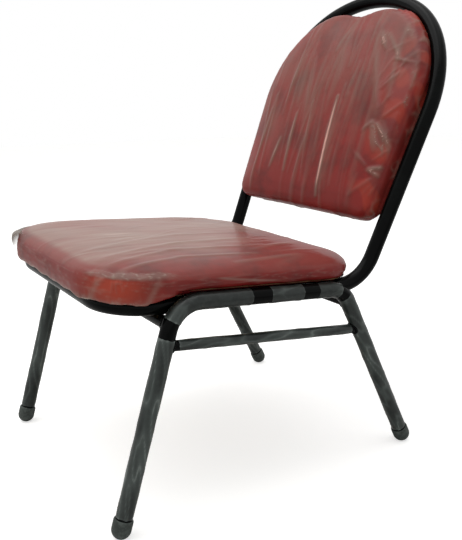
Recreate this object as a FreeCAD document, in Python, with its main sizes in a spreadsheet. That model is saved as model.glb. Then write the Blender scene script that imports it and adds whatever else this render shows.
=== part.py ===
import FreeCAD, Part
import math
import os
from FreeCAD import Placement, Rotation, Vector

# Visitor chair: a bent steel tube frame that carries an upholstered seat and back pad.
# The chair faces -Y and stands on Z = 0. Its origin is on the floor below the middle of its box.
# Lengths are millimetres and angles are degrees.

SIZES = [
    # Frame tube and what fits round it
    ("tube_diameter", 25.4, "frame tube, outside"),
    ("tube_wall", 1.2, "frame tube wall"),
    ("weld_gap", 0.3, "room between round pieces that are welded or seated together"),
    # Leg frames: each is one tube bent to an upside-down U
    ("front_foot_inset", 8.0, "front foot's centre inside the seat pad's side"),
    ("rear_foot_inset", 1.5, "rear foot's centre inside the seat pad's side"),
    ("front_foot_setback", 18.5, "front foot behind the seat pad's front edge"),
    ("rear_foot_reach", 231.0, "rear foot behind the origin"),
    ("rail_front_setback", 113.5, "rail's front corner behind the seat pad's front edge"),
    ("rail_front_height", 340.8, "rail's front corner above the floor"),
    ("rail_rear_reach", 74.0, "rail's rear corner behind the origin"),
    ("rail_rear_height", 315.0, "rail's rear corner above the floor"),
    ("leg_bend_radius", 50.0, "bends between the rail and the legs"),
    # Feet
    ("foot_diameter", 30.0, "rubber foot, outside"),
    ("foot_height", 16.0, "straight part of the foot above its round end"),
    ("foot_lip_round", 3.0, "rounding of the foot's upper lip"),
    ("foot_flat_depth", 1.2, "depth of the flat that rests on the floor"),
    # Stretchers and cross tubes
    ("stretcher_diameter", 16.0, "side stretcher, outside"),
    ("stretcher_wall", 1.0, "side stretcher wall"),
    ("stretcher_front_height", 279.0, "stretcher's axis at the front leg"),
    ("stretcher_rear_height", 240.0, "stretcher's axis at the rear leg"),
    ("cross_diameter", 19.0, "cross tube, outside"),
    ("cross_wall", 1.2, "cross tube wall"),
    # Main tube: seat ring and back hoop in one
    ("ring_front_drop", 12.0, "seat ring's front run below the rails' line, which the ring meets at the hoop"),
    ("ring_inset", 26.5, "seat ring's front run behind the seat pad's front edge"),
    ("ring_corner_radius", 70.0, "seat ring's front corners"),
    ("butt_gap", 1.0, "between the tube's ends, in the middle of the front run"),
    ("sleeve_length", 60.0, "sleeve inside the butt joint"),
    ("sleeve_wall", 1.5, "sleeve wall"),
    ("hoop_reach", 138.5, "where the hoop's plane meets the seat ring, behind the origin"),
    ("hoop_recline", 22.3, "hoop's lean from the upright"),
    ("lower_bend_radius", 70.0, "bend from the seat ring up to the hoop"),
    ("hoop_rise", 525.0, "hoop's top above the seat ring, along the hoop's plane"),
    ("hoop_shoulder_radius", 200.0, "hoop's shoulders"),
    ("hoop_crown_radius", 263.0, "hoop's top"),
    # Seat pad
    ("seat_width", 464.0, "seat pad's greatest width"),
    ("seat_depth", 472.0, "seat pad's greatest depth"),
    ("seat_rear_reach", 123.5, "seat pad's rear edge behind the origin, along the seat"),
    ("seat_front_corner", 110.0, "seat pad's front corners"),
    ("seat_rear_corner", 85.0, "seat pad's rear corners"),
    ("seat_edge", 35.0, "seat pad's thickness at its rim"),
    ("seat_crown", 10.0, "rise of the seat pad's middle over its rim"),
    ("seat_front_fall", 7.0, "by how much the seat pad's top is lower at its front than at its rear"),
    ("roll_thickness", 13.0, "front roll of the seat pad, which hangs before the seat ring"),
    ("roll_bulge", 1.0, "front roll's face ahead of the seat pad's edge"),
    ("roll_top", 24.0, "front roll's top over the leg rails' axis, inside the pad"),
    ("roll_bottom", 1.5, "front roll's lower edge below the leg rails' axis"),
    ("roll_turn", 78.0, "how far the front roll goes round each front corner"),
    # Back pad
    ("back_width", 419.0, "back pad's greatest width, between the uprights"),
    ("back_room", 1.3, "room between the hoop's tube and the back pad's sides"),
    ("back_set", 4.0, "back pad's rear face behind the hoop's plane"),
    ("back_bottom", 102.0, "back pad's lower edge above the seat ring, along the hoop's plane"),
    ("back_top_room", 16.3, "room between the hoop's tube and the back pad's top"),
    ("back_corner", 28.0, "back pad's lower corners"),
    ("back_shoulder_ease", 30.0, "by how much the back pad's shoulders are tighter than the hoop's"),
    ("back_crown_ease", 157.0, "by how much the back pad's top is flatter than the hoop's"),
    ("back_edge", 37.0, "back pad's thickness at its rim"),
    ("back_crown", 10.0, "rise of the back pad's middle over its rim"),
    ("panel_thickness", 3.0, "panel that closes the back pad's rear"),
    ("panel_margin", 14.0, "panel's edge inside the back pad's edge"),
    # Upholstery
    ("board_thickness", 9.0, "plywood boards of both pads"),
    ("cover_thickness", 1.2, "vinyl cover"),
    ("cover_hem", 15.0, "cover turned over under the boards"),
    ("drawn_in", 8.0, "how far the covers draw in at the boards"),
    ("layer_gap", 0.1, "room between the layers of a pad"),
    # Fasteners
    ("screw_diameter", 6.0, "machine screws of both pads"),
    ("screw_room", 0.6, "by how much a hole is wider than its screw"),
    ("screw_head_diameter", 12.0, "screw head"),
    ("screw_head_height", 3.5, "screw head"),
    ("nut_barrel_diameter", 8.0, "tee nut's barrel"),
    ("nut_flange_diameter", 19.0, "tee nut's flange"),
    ("nut_flange_thickness", 1.2, "tee nut's flange"),
    ("spacer_diameter", 14.0, "rubber spacer between the seat ring and the seat board"),
    ("seat_screw_setback", 148.5, "front seat screws behind the seat pad's front edge, along the seat"),
    ("seat_screw_rear", 40.0, "rear seat screws behind the origin, along the seat"),
    ("back_screw_low", 150.0, "lower back screws above the seat ring, along the hoop's plane"),
    ("back_screw_high", 290.0, "upper back screws above the seat ring, along the hoop's plane"),
    ("tab_thickness", 3.0, "flat tabs that carry the back pad"),
    ("tab_width", 26.0, "tab along the upright"),
    ("tab_margin", 9.0, "tab's hole inside the back cover's hem"),
]

# Sizes that follow from others
FOLLOWING = [
    ("seat_front_reach", "seat_depth - seat_rear_reach", "seat pad's front edge ahead of the origin"),
    ("front_foot_spread", "seat_width - 2 * front_foot_inset", "between the front feet, centre to centre"),
    ("rear_foot_spread", "seat_width - 2 * rear_foot_inset", "between the rear feet, centre to centre"),
    ("front_foot_reach", "seat_front_reach - front_foot_setback", "front foot ahead of the origin"),
    ("rail_front_reach", "seat_front_reach - rail_front_setback", "rail's front corner ahead of the origin"),
    ("ring_front_reach", "seat_front_reach - ring_inset", "seat ring's front run ahead of the origin"),
    ("seat_screw_front", "seat_front_reach - seat_screw_setback", "front seat screws ahead of the origin"),
    ("hoop_width", "back_width + 2 * back_room + tube_diameter", "hoop's greatest width, axis to axis"),
    ("back_top", "hoop_rise - tube_diameter / 2 - back_top_room", "back pad's top above the seat ring"),
    ("back_shoulder_radius", "hoop_shoulder_radius - back_shoulder_ease", "back pad's shoulders"),
    ("back_crown_radius", "hoop_crown_radius + back_crown_ease", "back pad's top"),
    ("tab_reach", "tube_diameter / 2 + back_room + drawn_in + cover_hem + tab_margin",
     "tab's hole inside the upright's axis"),
]

doc = FreeCAD.newDocument("visitor_chair")
sheet = doc.addObject("Spreadsheet::Sheet", "sizes")
for row, (alias, value, meaning) in enumerate(SIZES + FOLLOWING, start=1):
    sheet.set(f"A{row}", meaning)
    sheet.set(f"B{row}", f"={value}")
    sheet.setAlias(f"B{row}", alias)
doc.recompute()

AXIS_X = Vector(1, 0, 0)
AXIS_Z = Vector(0, 0, 1)
SIDES = {"left": -1, "right": 1}
ENDS = {"front": -1, "rear": 1}
nodes = []


def size(alias):
    """A driving size, read from the sheet."""
    return float(sheet.get(alias))


def bind(feature, **expressions):
    """Tie a feature's sizes to expressions of the sheet's cells."""
    for name, expression in expressions.items():
        feature.setExpression(name, expression)
    return feature


def node(feature, label):
    """Name a feature as one finished piece of the chair."""
    feature.Label = label
    nodes.append(feature)
    return feature


def along(origin, direction):
    """A placement whose Z axis points along a direction."""
    return Placement(origin, Rotation(AXIS_Z, direction))


def shaped(name, shape):
    """A feature whose shape is worked out here from the sheet's sizes."""
    feature = doc.addObject("Part::Feature", name)
    feature.Shape = shape
    return feature


def rod(name, origin, direction, radius, height):
    """A round bar from a point along a direction, with its two sizes as expressions."""
    bar = doc.addObject("Part::Cylinder", name)
    bind(bar, Radius=radius, Height=height)
    bar.Placement = along(origin, direction)
    return bar


def cut(name, base, tool):
    """One feature less another."""
    less = doc.addObject("Part::Cut", name)
    less.Base = base
    less.Tool = tool
    return less


def group(name, members):
    """Several separate solids, kept together."""
    gathered = doc.addObject("Part::Compound", name)
    gathered.Links = members
    return gathered


# Lines that the whole frame follows

rail_front = Vector(0, -size("rail_front_reach"), size("rail_front_height"))
rail_rear = Vector(0, size("rail_rear_reach"), size("rail_rear_height"))
rail_slope = (rail_rear.z - rail_front.z) / (rail_rear.y - rail_front.y)
foot_centre_height = size("foot_diameter") / 2 - size("foot_flat_depth")
foot_front = Vector(0, -size("front_foot_reach"), foot_centre_height)
foot_rear = Vector(0, size("rear_foot_reach"), foot_centre_height)
leg_ends = {"front": (foot_front, rail_front), "rear": (foot_rear, rail_rear)}
toe_out = (size("rear_foot_spread") - size("front_foot_spread")) / 2 / (foot_rear.y - foot_front.y)
ring_step = size("tube_diameter") + size("weld_gap")


def leg_half_width(depth):
    """Half the distance between the leg frames at a depth: they toe out towards the rear."""
    return size("front_foot_spread") / 2 + toe_out * (depth - foot_front.y)


def rail_height(depth):
    """Height of the leg rails' axis, carried on past both of their ends."""
    return rail_front.z + rail_slope * (depth - rail_front.y)


ring_front = Vector(0, -size("ring_front_reach"), 0)
ring_front.z = rail_height(ring_front.y) - size("ring_front_drop")
hoop_foot = Vector(0, size("hoop_reach"), rail_height(size("hoop_reach")))
ring_slope = (hoop_foot.z - ring_front.z) / (hoop_foot.y - ring_front.y)


def ring_height(depth):
    """Height of the seat ring's axis along its side runs."""
    return ring_front.z + ring_slope * (depth - ring_front.y)


def ring_half_width(depth):
    """Half the distance between the seat ring's side runs, which lie inside the leg rails."""
    return leg_half_width(depth) - ring_step * math.sqrt(1 + toe_out ** 2)


def on_leg_frame(point, side):
    """A point of the leg frames' side view, carried out to the left or the right frame."""
    return Vector(side * leg_half_width(point.y), point.y, point.z)


def leg_at_height(end, height):
    """Where a leg's axis passes a height, in the side view."""
    foot, top = leg_ends[end]
    return foot + (top - foot) * ((height - foot.z) / (top.z - foot.z))


seat_place = Placement(rail_front, Rotation(AXIS_X, math.degrees(math.atan(rail_slope))))
seat_up = seat_place.Rotation.multVec(AXIS_Z)
seat_base = size("tube_diameter") / 2 + size("weld_gap")


def on_seat(across, depth, height):
    """A point by its place across, its depth and its height over the leg rails' axis plane."""
    run = (depth - rail_front.y) * math.sqrt(1 + rail_slope ** 2)
    return seat_place.multVec(Vector(across, run, height))


hoop_place = Placement(hoop_foot, Rotation(AXIS_X, 90 - size("hoop_recline")))
hoop_front = hoop_place.Rotation.multVec(AXIS_Z)


def on_hoop(across, rise, ahead=0.0):
    """A point by its place across, its rise in the hoop's plane and its distance in front."""
    return hoop_place.multVec(Vector(across, rise, ahead))


# Paths of bent tubes

def bend(before, corner, after, radius):
    """The arc that rounds a corner of a path: its start, middle and end."""
    inward = (before - corner).normalize()
    outward = (after - corner).normalize()
    half_angle = inward.getAngle(outward) / 2
    reach = radius / math.tan(half_angle)
    middle_line = (inward + outward).normalize()
    middle = corner + middle_line * (radius / math.sin(half_angle) - radius)
    return corner + inward * reach, middle, corner + outward * reach


def bent_path(points, radii):
    """A path through points, with each inner corner rounded to its radius: lines of 2 points, arcs of 3."""
    runs = []
    start = points[0]
    for before, corner, after, radius in zip(points, points[1:], points[2:], radii):
        arc = bend(before, corner, after, radius)
        runs.append((start, arc[0]))
        runs.append(arc)
        start = arc[2]
    runs.append((start, points[-1]))
    return runs


def mirrored(runs):
    """The same path on the chair's other side, taken the other way round."""
    return [tuple(Vector(-point.x, point.y, point.z) for point in reversed(run)) for run in reversed(runs)]


def drawn(runs):
    """A path's lines and arcs as edges."""
    return [(Part.Arc if len(run) == 3 else Part.LineSegment)(*run).toShape() for run in runs]


def tube(name, runs, outside, wall):
    """A hollow tube along a path of tangent lines and arcs."""
    edges = drawn(runs)
    path = shaped(name + "_path", Part.Wire(edges))
    spine = (path, [f"Edge{number}" for number in range(1, len(edges) + 1)])
    first = edges[0]
    start = first.valueAt(first.FirstParameter)
    sweeps = []
    for layer, radius in (("outside", f"sizes.{outside} / 2"), ("bore", f"sizes.{outside} / 2 - sizes.{wall}")):
        ring = bind(doc.addObject("Part::Circle", f"{name}_{layer}_ring"), Radius=radius)
        ring.Placement = along(start, first.tangentAt(first.FirstParameter))
        sweep = doc.addObject("Part::Sweep", f"{name}_{layer}")
        sweep.Sections = [ring]
        sweep.Spine = spine
        sweep.Solid = True
        sweeps.append(sweep)
    return cut(name, *sweeps)


def straight_tube(name, start, end, outside, wall):
    """A hollow straight tube between two points."""
    length = f"{(end - start).Length} mm"
    direction = end - start
    skin = rod(name + "_outside", start, direction, f"sizes.{outside} / 2", length)
    bore = rod(name + "_bore", start, direction, f"sizes.{outside} / 2 - sizes.{wall}", length)
    return cut(name, skin, bore)


# Main tube: seat ring and back hoop

def arch(half_width, top, shoulder_radius, crown_radius):
    """Centres of a three-centred arch: the shoulder's across and rise, and the crown's rise."""
    shoulder_across = half_width - shoulder_radius
    crown_rise = top - crown_radius
    shoulder_rise = crown_rise + math.sqrt((crown_radius - shoulder_radius) ** 2 - shoulder_across ** 2)
    return shoulder_across, shoulder_rise, crown_rise


def upright_lean():
    """Angle of the right upright in the hoop's plane: from the seat ring, tangent to the shoulder."""
    shoulder_radius = size("hoop_shoulder_radius")
    across, rise, _ = arch(
        size("hoop_width") / 2, size("hoop_rise"), shoulder_radius, size("hoop_crown_radius"))
    to_shoulder = Vector(across - ring_half_width(hoop_foot.y), rise, 0)
    return math.atan2(to_shoulder.y, to_shoulder.x) - math.asin(shoulder_radius / to_shoulder.Length)


def polar(centre, radius, angle):
    """A point of a circle in a flat drawing, by its angle in radians."""
    return Vector(centre.x + radius * math.cos(angle), centre.y + radius * math.sin(angle), 0)


def main_tube_path():
    """One tube: from the front butt joint round the ring, up over the hoop and back again."""
    ring_start = ring_front + AXIS_X * (size("butt_gap") / 2)
    corner = ring_front + AXIS_X * ring_half_width(ring_front.y)
    lower = hoop_foot + AXIS_X * ring_half_width(hoop_foot.y)

    shoulder_radius = size("hoop_shoulder_radius")
    across, rise, crown_rise = arch(
        size("hoop_width") / 2, size("hoop_rise"), shoulder_radius, size("hoop_crown_radius"))
    shoulder = Vector(across, rise, 0)
    crown = Vector(0, crown_rise, 0)
    spring_angle = upright_lean() - math.pi / 2
    join_angle = math.atan2(shoulder.y - crown.y, shoulder.x)
    spring = polar(shoulder, shoulder_radius, spring_angle)
    shoulder_middle = polar(shoulder, shoulder_radius, (spring_angle + join_angle) / 2)
    join = polar(shoulder, shoulder_radius, join_angle)
    top = polar(crown, size("hoop_crown_radius"), math.pi / 2)
    spring, shoulder_middle, join, top = [hoop_place.multVec(p) for p in (spring, shoulder_middle, join, top)]

    right = bent_path(
        [ring_start, corner, lower, spring], [size("ring_corner_radius"), size("lower_bend_radius")])
    right.append((spring, shoulder_middle, join))
    crown_run = (join, top, Vector(-join.x, join.y, join.z))
    return right + [crown_run] + mirrored(right)


def upright_half_width(rise):
    """Half the distance between the hoop's uprights at a rise above the seat ring."""
    return ring_half_width(hoop_foot.y) + rise / math.tan(upright_lean())


def seat_screw_spots():
    """Where the seat screws cross the seat ring's axis: two on each side run."""
    spots = []
    for depth in (-size("seat_screw_front"), size("seat_screw_rear")):
        for side in SIDES.values():
            spots.append(Vector(side * ring_half_width(depth), depth, ring_height(depth)))
    return spots


def back_screw_spots():
    """Where the back screws cross the hoop's plane: beside each upright, at two heights."""
    spots = []
    for rise in (size("back_screw_low"), size("back_screw_high")):
        for side in SIDES.values():
            spots.append(on_hoop(side * (upright_half_width(rise) - size("tab_reach")), rise))
    return spots


def make_main_tube():
    """The main tube with its screw holes, and the sleeve inside its butt joint."""
    bare = tube("main_tube_bare", main_tube_path(), "tube_diameter", "tube_wall")
    holes = []
    for number, spot in enumerate(seat_screw_spots(), start=1):
        holes.append(rod(f"seat_hole_{number}", spot - seat_up * size("tube_diameter"), seat_up,
                         "(sizes.screw_diameter + sizes.screw_room) / 2", "2 * sizes.tube_diameter"))
    node(cut("main_tube", bare, group("main_tube_holes", holes)), "main_frame_tube")

    start = ring_front - AXIS_X * (size("sleeve_length") / 2)
    outside = "sizes.tube_diameter / 2 - sizes.tube_wall - sizes.layer_gap"
    skin = rod("sleeve_outside", start, AXIS_X, outside, "sizes.sleeve_length")
    bore = rod("sleeve_bore", start, AXIS_X, outside + " - sizes.sleeve_wall", "sizes.sleeve_length")
    node(cut("sleeve", skin, bore), "main_tube_joint_sleeve")


# Leg frames, stretchers, cross tubes and feet

def make_leg_frame(side_name):
    """One leg frame with its stretcher between the two legs."""
    side = SIDES[side_name]
    points = [on_leg_frame(point, side) for point in (foot_front, rail_front, rail_rear, foot_rear)]
    radii = [size("leg_bend_radius")] * 2
    node(tube("leg_" + side_name, bent_path(points, radii), "tube_diameter", "tube_wall"),
         "leg_frame_" + side_name)

    front = on_leg_frame(leg_at_height("front", size("stretcher_front_height")), side)
    rear = on_leg_frame(leg_at_height("rear", size("stretcher_rear_height")), side)
    bar = straight_tube("stretcher_bar_" + side_name, front, rear, "stretcher_diameter", "stretcher_wall")
    coped = cut("stretcher_" + side_name, bar, leg_clearance("stretcher_" + side_name, [side], ENDS))
    node(coped, "side_stretcher_" + side_name)


def leg_clearance(name, sides, ends):
    """The space of the straight legs and their weld gap, which coped tube ends keep clear of."""
    spaces = []
    for side in sides:
        for end in ends:
            foot, top = [on_leg_frame(point, side) for point in leg_ends[end]]
            space = rod(f"{name}_cope_{end}_{side + 1}", foot, top - foot,
                        "sizes.tube_diameter / 2 + sizes.weld_gap", f"{(top - foot).Length} mm")
            spaces.append(space)
    return group(name + "_copes", spaces)


def make_cross_tube(end):
    """A tube from leg to leg, just below the seat ring that rests on it."""
    foot, top = leg_ends[end]
    leg_slope = (top.y - foot.y) / (top.z - foot.z)
    below_ring = size("tube_diameter") / 2 + size("weld_gap") + size("cross_diameter") / 2
    height = (ring_height(foot.y - leg_slope * foot.z) - below_ring) / (1 - ring_slope * leg_slope)
    middle = leg_at_height(end, height)
    ends = [on_leg_frame(middle, side) for side in SIDES.values()]
    bar = straight_tube("cross_bar_" + end, *ends, "cross_diameter", "cross_wall")
    coped = cut("cross_" + end, bar, leg_clearance("cross_" + end, SIDES.values(), [end]))
    node(coped, end + "_cross_tube")


def make_foot(end, side_name):
    """A rubber foot: a barrel over the tube's end with a round end, cut flat at the floor."""
    name = f"foot_{end}_{side_name}"
    centre, top = [on_leg_frame(point, SIDES[side_name]) for point in leg_ends[end]]
    leg = top - centre
    dome = bind(doc.addObject("Part::Sphere", name + "_dome"), Radius="sizes.foot_diameter / 2")
    dome.Placement = along(centre, leg)
    barrel = rod(name + "_barrel", centre, leg, "sizes.foot_diameter / 2", "sizes.foot_height")
    doc.recompute()
    lip = doc.addObject("Part::Fillet", name + "_lip")
    lip.Base = barrel
    rim = [number for number, edge in enumerate(barrel.Shape.Edges, start=1)
           if edge.Closed and edge.CenterOfMass.z > centre.z + size("foot_height") / 2]
    lip.Edges = [(number, size("foot_lip_round"), size("foot_lip_round")) for number in rim]
    body = doc.addObject("Part::Fuse", name + "_body")
    body.Base = dome
    body.Tool = lip
    socket = rod(name + "_socket", centre, leg, "sizes.tube_diameter / 2 + sizes.layer_gap",
                 "2 * sizes.foot_height")
    floor = doc.addObject("Part::Box", name + "_floor")
    bind(floor, Length="2 * sizes.foot_diameter", Width="2 * sizes.foot_diameter",
         Height="sizes.foot_diameter")
    block = size("foot_diameter")
    floor.Placement = Placement(Vector(centre.x - block, centre.y - block, -block), Rotation())
    bored = cut(name + "_bored", body, socket)
    node(cut(name, bored, floor), f"foot_{end}_{side_name}")


# Pads

def seat_outline(inset, height, shrink=1.0):
    """The seat pad's outline at a height over the leg rails: lines and rounded corners."""
    half_width = size("seat_width") / 2 * shrink - inset
    half_depth = size("seat_depth") / 2 * shrink - inset
    middle = size("seat_rear_reach") - size("seat_depth") / 2
    rounds = {-1: size("seat_front_corner") * shrink - inset, 1: size("seat_rear_corner") * shrink - inset}
    corners = [(1, -1), (1, 1), (-1, 1), (-1, -1)]
    arcs = []
    for side, end in corners:
        radius = rounds[end]
        turn = math.atan2(end, side)
        centre = Vector(side * (half_width - radius), middle + end * (half_depth - radius), 0)
        arcs.append([polar(centre, radius, turn + step * math.pi / 4) for step in (-1, 0, 1)])
    return closed_outline(arcs, lambda point: on_seat(point.x, point.y, height - seat_fall(point.y, height)))


def seat_fall(depth, height):
    """By how much the seat pad lies lower at a depth: nothing at its board, all of the fall at its rim."""
    board_top = seat_base + size("cover_thickness") + size("layer_gap") + size("board_thickness")
    share = (height - board_top) / (seat_base + size("seat_edge") - board_top)
    ahead = (size("seat_rear_reach") - depth) / size("seat_depth")
    return size("seat_front_fall") * min(max(share, 0.0), 1.0) * ahead


def back_outline(inset, ahead, shrink=1.0):
    """The back pad's outline at a distance in front of the hoop: its sides run along the uprights."""
    middle = (size("back_bottom") + size("back_top")) / 2
    half_width = size("back_width") / 2 * shrink - inset
    top = middle + (size("back_top") - middle) * shrink - inset
    bottom = middle + (size("back_bottom") - middle) * shrink + inset
    corner_radius = size("back_corner") * shrink - inset
    shoulder_radius = size("back_shoulder_radius") * shrink - inset
    crown_radius = size("back_crown_radius") * shrink - inset
    across, rise, crown_rise = arch(half_width, top, shoulder_radius, crown_radius)
    join_angle = math.atan2(rise - crown_rise, across)
    lean = upright_lean()
    side_angle = lean - math.pi / 2
    shoulder = Vector(across, rise, 0)
    crown = Vector(0, crown_rise, 0)
    spring = polar(shoulder, shoulder_radius - corner_radius, side_angle)
    low_rise = bottom + corner_radius
    low = Vector(spring.x - (spring.y - low_rise) / math.tan(lean), low_rise, 0)
    turns = [
        (low, corner_radius, -math.pi / 2, side_angle),
        (shoulder, shoulder_radius, side_angle, join_angle),
        (crown, crown_radius, join_angle, math.pi - join_angle),
    ]
    arcs = [[polar(centre, radius, angle) for angle in (start, (start + end) / 2, end)]
            for centre, radius, start, end in turns]
    for arc in (arcs[1], arcs[0]):
        arcs.append([Vector(-point.x, point.y, 0) for point in reversed(arc)])
    return closed_outline(arcs, lambda point: on_hoop(point.x, point.y, ahead))


def closed_outline(arcs, place):
    """A closed wire of arcs, joined by lines wherever two of them do not meet."""
    edges = []
    for arc, following in zip(arcs, arcs[1:] + arcs[:1]):
        start, middle, end = [place(point) for point in arc]
        edges.append(Part.Arc(start, middle, end).toShape())
        next_start = place(following[0])
        if (next_start - end).Length > size("layer_gap") / 10:
            edges.append(Part.LineSegment(end, next_start).toShape())
    return Part.Wire(edges)


# A pad's side view: share of the rim's thickness, share of the crown, inset over drawn_in, shrink
PAD_PROFILE = [
    (0.0, 0.0, 1.0, 1.0),
    (0.2, 0.0, 0.35, 1.0),
    (0.45, 0.0, 0.0, 1.0),
    (0.65, 0.0, 0.1, 1.0),
    (0.85, 0.0, 0.75, 1.0),
    (1.0, 0.0, 2.0, 1.0),
    (1.0, 0.4, 0.0, 0.8),
    (1.0, 0.8, 0.0, 0.55),
    (1.0, 1.0, 0.0, 0.25),
]


def pad_solid(name, outline, base, edge, crown, skin):
    """A cushion's form: drawn in at its base, full at its waist and crowned in its middle."""
    sections = []
    for number, (rim_share, crown_share, inset_share, shrink) in enumerate(PAD_PROFILE, start=1):
        height = base + skin + (edge - 2 * skin) * rim_share + crown * crown_share
        wire = outline(skin + size("drawn_in") * inset_share, height, shrink)
        sections.append(shaped(f"{name}_section_{number}", wire))
    loft = doc.addObject("Part::Loft", name)
    loft.Sections = sections
    loft.Solid = True
    loft.Ruled = True
    return loft


def slab(name, outline, inset, base, thickness, direction):
    """A flat board of an outline's shape."""
    board = doc.addObject("Part::Extrusion", name)
    board.Base = shaped(name + "_edge", outline(inset, base))
    board.Dir = direction
    board.Solid = True
    return bind(board, LengthFwd=thickness)


def tee_nuts(name, spots, direction):
    """Tee nuts: a flange on the board's far face and a barrel down into it, bored for the screw."""
    nuts = []
    for number, spot in enumerate(spots, start=1):
        flange = rod(f"{name}_flange_{number}", spot, direction, "sizes.nut_flange_diameter / 2",
                     "sizes.nut_flange_thickness")
        barrel = rod(f"{name}_barrel_{number}", spot, direction * -1, "sizes.nut_barrel_diameter / 2",
                     "sizes.board_thickness - sizes.layer_gap")
        whole = doc.addObject("Part::Fuse", f"{name}_whole_{number}")
        whole.Base = flange
        whole.Tool = barrel
        start = spot - direction * size("board_thickness")
        bore = rod(f"{name}_bore_{number}", start, direction, "sizes.screw_diameter / 2 + sizes.layer_gap",
                   "2 * sizes.board_thickness")
        nuts.append(cut(f"{name}_{number}", whole, bore))
    return group(name, nuts)


def screws(name, heads, tips, direction):
    """Machine screws from where their heads bear to their tips, each a head and a plain shank."""
    made = []
    for number, (bearing, tip) in enumerate(zip(heads, tips), start=1):
        head = rod(f"{name}_head_{number}", bearing, direction * -1, "sizes.screw_head_diameter / 2",
                   "sizes.screw_head_height")
        length = f"{(tip - bearing).Length} mm"
        shank = rod(f"{name}_shank_{number}", bearing, direction, "sizes.screw_diameter / 2", length)
        whole = doc.addObject("Part::Fuse", f"{name}_{number}")
        whole.Base = head
        whole.Tool = shank
        made.append(whole)
    return group(name, made)


def nut_pockets(name, spots, direction):
    """The room in a pad's foam for the tee nuts' flanges."""
    return group(name + "_pockets", [
        rod(f"{name}_pocket_{number}", spot, direction, "sizes.nut_flange_diameter / 2 + sizes.layer_gap",
            "sizes.nut_flange_thickness + sizes.layer_gap") for number, spot in enumerate(spots, start=1)])


def drill(name, base, spots, direction, radius):
    """A pad's layer with a round hole at each fastener."""
    holes = []
    for number, spot in enumerate(spots, start=1):
        start = spot - direction * size("tube_diameter")
        holes.append(rod(f"{name}_hole_{number}", start, direction, radius, "3 * sizes.tube_diameter"))
    return cut(name, base, group(name + "_holes", holes))


def front_roll(name, skin):
    """The roll of the seat pad that hangs before the seat ring: a rounded strip round the front edge."""
    half_width = size("seat_width") / 2
    corner = size("seat_front_corner")
    half_thick = size("roll_thickness") / 2 - skin
    radius = corner + size("roll_bulge") - size("roll_thickness") / 2
    top = size("roll_top") - skin
    bottom = skin - size("roll_bottom")
    turn = math.radians(size("roll_turn"))
    centre = Vector(half_width - corner, corner - size("seat_front_reach"), 0)
    right = [polar(centre, radius, share * turn - math.pi / 2) for share in (1.0, 0.5, 0.0)]
    left = [Vector(-point.x, point.y, 0) for point in reversed(right)]
    right, left = [[on_seat(point.x, point.y, top) for point in arc] for arc in (right, left)]
    path = drawn([right, (right[-1], left[0]), left])

    along_path = path[0].tangentAt(path[0].FirstParameter)
    outward = along_path.cross(seat_up).normalize() * half_thick
    upper = right[0] - seat_up * half_thick
    lower = right[0] - seat_up * (top - bottom - half_thick)
    over = Part.Arc(upper + outward, upper + seat_up * half_thick, upper - outward).toShape()
    under = Part.Arc(lower - outward, lower - seat_up * half_thick, lower + outward).toShape()
    sides = [Part.LineSegment(upper - outward, lower - outward).toShape(),
             Part.LineSegment(lower + outward, upper + outward).toShape()]
    section = shaped(name + "_section", Part.Wire([over, sides[0], under, sides[1]]))
    roll = doc.addObject("Part::Sweep", name)
    roll.Sections = [section]
    roll.Spine = (shaped(name + "_path", Part.Wire(path)), ["Edge1", "Edge2", "Edge3"])
    roll.Solid = True
    return roll


def seat_form(name, skin):
    """The seat pad's whole form, its cushion and its front roll, less a skin all round."""
    form = doc.addObject("Part::Fuse", name)
    form.Base = pad_solid(
        name + "_cushion", seat_outline, seat_base, size("seat_edge"), size("seat_crown"), skin)
    form.Tool = front_roll(name + "_roll", skin)
    return form


def make_seat():
    """The seat pad on the leg rails: cover, board and foam, with its fasteners and spacers."""
    gap = size("layer_gap")
    skin = size("cover_thickness")
    board_base = seat_base + skin + gap
    board_top = board_base + size("board_thickness")
    board_inset = size("drawn_in") + skin + gap
    half_tube = size("tube_diameter") / 2
    spots = seat_screw_spots()
    tips = [on_seat(spot.x, spot.y, board_top) for spot in spots]
    spots = [tip - seat_up * ((tip - spot) * seat_up) for spot, tip in zip(spots, tips)]
    nut_spots = [tip + seat_up * gap for tip in tips]

    shell = cut("seat_shell", seat_form("seat_outer", 0.0), seat_form("seat_inner", skin))
    window = slab("seat_window", seat_outline, size("drawn_in") + size("cover_hem"), seat_base - skin,
                  "3 * sizes.cover_thickness", seat_up)
    node(cut("seat_skin", shell, window), "seat_cover")

    board = slab("seat_blank", seat_outline, board_inset, board_base, "sizes.board_thickness", seat_up)
    node(drill("seat_drilled", board, spots, seat_up, "sizes.nut_barrel_diameter / 2 + sizes.layer_gap"),
         "seat_board")

    below = slab("seat_below", seat_outline, board_inset - gap, seat_base - skin,
                 "sizes.board_thickness + 2 * sizes.cover_thickness + 2 * sizes.layer_gap", seat_up)
    pockets = nut_pockets("seat", nut_spots, seat_up)
    upper = cut("seat_upper", seat_form("seat_fill", skin + gap), below)
    node(cut("seat_stuffing", upper, pockets), "seat_foam")

    node(tee_nuts("seat_nuts", nut_spots, seat_up), "seat_tee_nuts")
    heads = [spot - seat_up * half_tube for spot in spots]
    node(screws("seat_bolts", heads, tips, seat_up), "seat_screws")

    spacers = []
    for number, (spot, tip) in enumerate(zip(spots, tips), start=1):
        foot = spot + seat_up * (half_tube + gap)
        height = f"{(tip - foot).Length - size('board_thickness') - gap} mm"
        outside = rod(f"spacer_outside_{number}", foot, seat_up, "sizes.spacer_diameter / 2", height)
        bore = rod(f"spacer_bore_{number}", foot, seat_up,
                   "(sizes.screw_diameter + sizes.screw_room) / 2", height)
        spacers.append(cut(f"spacer_{number}", outside, bore))
    node(group("spacers", spacers), "seat_spacers")


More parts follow.
